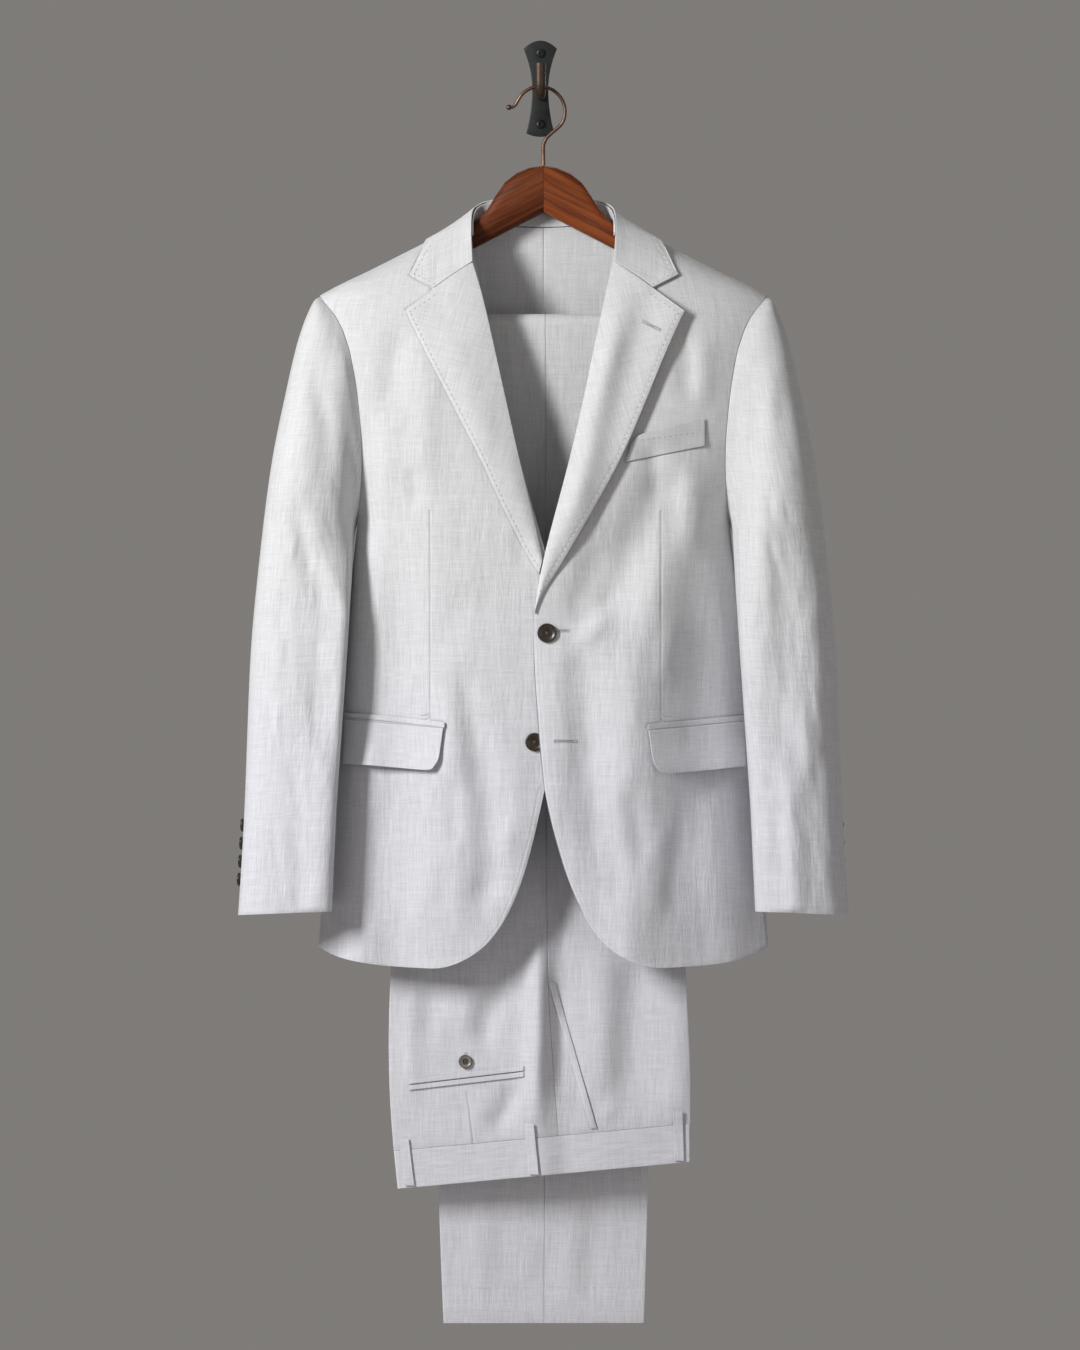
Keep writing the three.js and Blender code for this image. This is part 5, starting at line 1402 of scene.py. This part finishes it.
metal = {
    "hook": {"dark": (0.13, 0.08, 0.058), "light": (0.23, 0.145, 0.108),
             "roughness": 0.42, "metallic": 1.0, "grain": 90},
    "peg": {"dark": (0.045, 0.029, 0.02), "light": (0.08, 0.054, 0.039),
            "roughness": 0.5, "metallic": 0.7, "grain": 90},
    "plate": {"dark": (0.011, 0.0125, 0.0125), "light": (0.024, 0.0265, 0.027),
              "roughness": 0.45, "metallic": 0.35, "grain": 160},
    "ballRadius": 2.9, "hookEnd": (-35.6, -36.0, -18.9),
    "socketHalf": 2.3, "headRadius": 4.65, "headThick": 3.2,
}


def agedGroup():
    # Uneven tarnish: broad clouds with fine specks.
    desk, given, out = newGroup("agedMetal", {"Place": "Vector", "Grain": "Float"}, ("Tone", "Height"))
    clouds = desk.noise(given["Place"], desk.times(given["Grain"], 0.5), 4.0, 0.6)
    specks = desk.noise(given["Place"], desk.times(given["Grain"], 5.0), 1.0, 0.5)
    desk.join(desk.blended(clouds, 0.7, specks, 0.3), out["Tone"])
    desk.join(desk.plus(clouds, desk.times(specks, 0.12)), out["Height"])
    return desk.tree


tarnish = agedGroup()


def metalMaterial(name, look):
    material, desk, slots = newMaterial(name, look["roughness"], look["metallic"])
    cover = desk.add("ShaderNodeGroup", node_tree=tarnish)
    desk.join(desk.objectPlace(), cover.inputs["Place"])
    cover.inputs["Grain"].default_value = look["grain"]
    colour = desk.tone(desk.ramp(cover.outputs["Tone"], 0.38, 0.62), look["dark"], look["light"])
    desk.join(colour, slots["Base Color"])
    rough = look["roughness"]
    desk.join(desk.ramp(cover.outputs["Tone"], 0.35, 0.65, rough + 0.08, rough - 0.06), slots["Roughness"])
    desk.join(desk.bump(cover.outputs["Height"], 0.0001, 0.35), slots["Normal"])
    return material


copper = metalMaterial("agedCopper", metal["hook"])
bronze = metalMaterial("agedBronze", metal["peg"])
iron = metalMaterial("blackIron", metal["plate"])
hook = refined("hanger_hook", "hook_wire", copper, levels=1)
bm = bmesh.new()
bm.from_mesh(hook.data)
ballPlace = Vector(metal["hookEnd"]) + Vector((suitMiddle, 0, 0))
bmesh.ops.create_uvsphere(bm, u_segments=24, v_segments=14, radius=metal["ballRadius"] * mm,
                          matrix=Matrix.Translation(ballPlace * mm))
bm.to_mesh(hook.data)
bm.free()
hook.data.polygons.foreach_set("use_smooth", np.ones(len(hook.data.polygons), bool))
refined("wall_peg", "peg_rod", bronze, bevel=0.5, cuts=3, levels=1)
refined("wall_plate", "iron_plate", iron, bevel=0.55, cuts=3, quads=False)


def addScrew(node):
    # A button head with a hexagonal socket, facing away from the wall.
    low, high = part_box(node)
    middle = (Vector(low) + Vector(high)) / 2
    radius, thick = metal["headRadius"] * mm, metal["headThick"] * mm
    profile = [(0, 0), (radius, 0), (radius, 0.22 * thick)]
    profile += [(radius * math.cos(math.radians(turn)), thick * (0.22 + 0.78 * math.sin(math.radians(turn))))
                for turn in (15, 30, 45, 60, 74, 90)]
    head = standIn(node + "_head", spun(profile, 36))
    bm = bmesh.new()
    bmesh.ops.create_cone(bm, cap_ends=True, segments=6, radius1=metal["socketHalf"] * mm, depth=2 * thick,
                          radius2=metal["socketHalf"] * mm, matrix=Matrix.Translation((0, 0, 1.35 * thick)))
    mesh = cutOut(head, standIn(node + "_key", bm, False))
    facing = Matrix.Rotation(math.radians(90), 4, "X")
    mesh.transform(Matrix.Translation((middle.x, high[1], middle.z)) @ facing)
    mesh.set_sharp_from_angle(angle=math.radians(40))
    piece = newObject(node + "_head", mesh, iron)
    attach(piece, "root")
    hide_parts(node)


for end in ("top", "bottom"):
    addScrew(f"wall_screw_{end}")
print("the hook, peg, plate and screws are ready")

studio = {
    "floorHeight": -1.52, "floorHalf": 1.15, "floorTone": (0.6, 0.58, 0.55),
    "worldTone": (0.42, 0.40, 0.38), "worldStrength": 0.5,
    "key": {"place": (-2.5, -2.42, 0.75), "size": (0.5, 1.4), "power": 146, "tone": (1.0, 1.0, 1.0)},
    "fill": {"place": (2.4, -3.2, -0.3), "size": (2.5, 2.5), "power": 14, "tone": (1.0, 1.0, 1.0)},
    "back": {"place": (0.8, 2.6, 0.8), "size": (2.0, 2.0), "power": 14, "tone": (1.0, 1.0, 1.0)},
}


def addFloor():
    bm = bmesh.new()
    bmesh.ops.create_grid(bm, x_segments=1, y_segments=1, size=studio["floorHalf"])
    bmesh.ops.translate(bm, verts=bm.verts, vec=(0, 0, studio["floorHeight"]))
    material, desk, slots = newMaterial("paleFloor", 0.8)
    slots["Base Color"].default_value = (*studio["floorTone"], 1)
    newObject("floor", meshOf(bm, "floor", False), material)


def addLight(name, look, target):
    lamp = bpy.data.lights.new(name, "AREA")
    lamp.shape = "RECTANGLE"
    lamp.size, lamp.size_y = look["size"]
    lamp.energy = look["power"]
    lamp.color = look["tone"]
    light = bpy.data.objects.new(name, lamp)
    scene.collection.objects.link(light)
    light.location = look["place"]
    light.rotation_euler = (Vector(target) - Vector(look["place"])).to_track_quat("-Z", "Y").to_euler()


def addWorld():
    world = bpy.data.worlds.new("studio")
    scene.world = world
    world.use_nodes = True
    back = world.node_tree.nodes["Background"]
    back.inputs["Color"].default_value = (*studio["worldTone"], 1)
    back.inputs["Strength"].default_value = studio["worldStrength"]


camera = {"distance": 40.0, "x": -0.0003, "height": -0.6046, "frameHeight": 1.3905, "suitDepth": -0.1}


def addCamera():
    eye = bpy.data.cameras.new("camera")
    eye.sensor_width = 36
    eye.lens = 36 * (camera["distance"] + camera["suitDepth"]) / camera["frameHeight"]
    eye.clip_end = 60
    holder = bpy.data.objects.new("camera", eye)
    scene.collection.objects.link(holder)
    holder.location = (camera["x"], -camera["distance"], camera["height"])
    holder.rotation_euler = (math.pi / 2, 0, 0)
    scene.camera = holder


addFloor()
addWorld()
suitCentre = (0, -0.07, -0.6)
for lamp in ("key", "fill", "back"):
    addLight(lamp + "Light", studio[lamp], suitCentre)
addCamera()
print("stage, light and camera are ready")
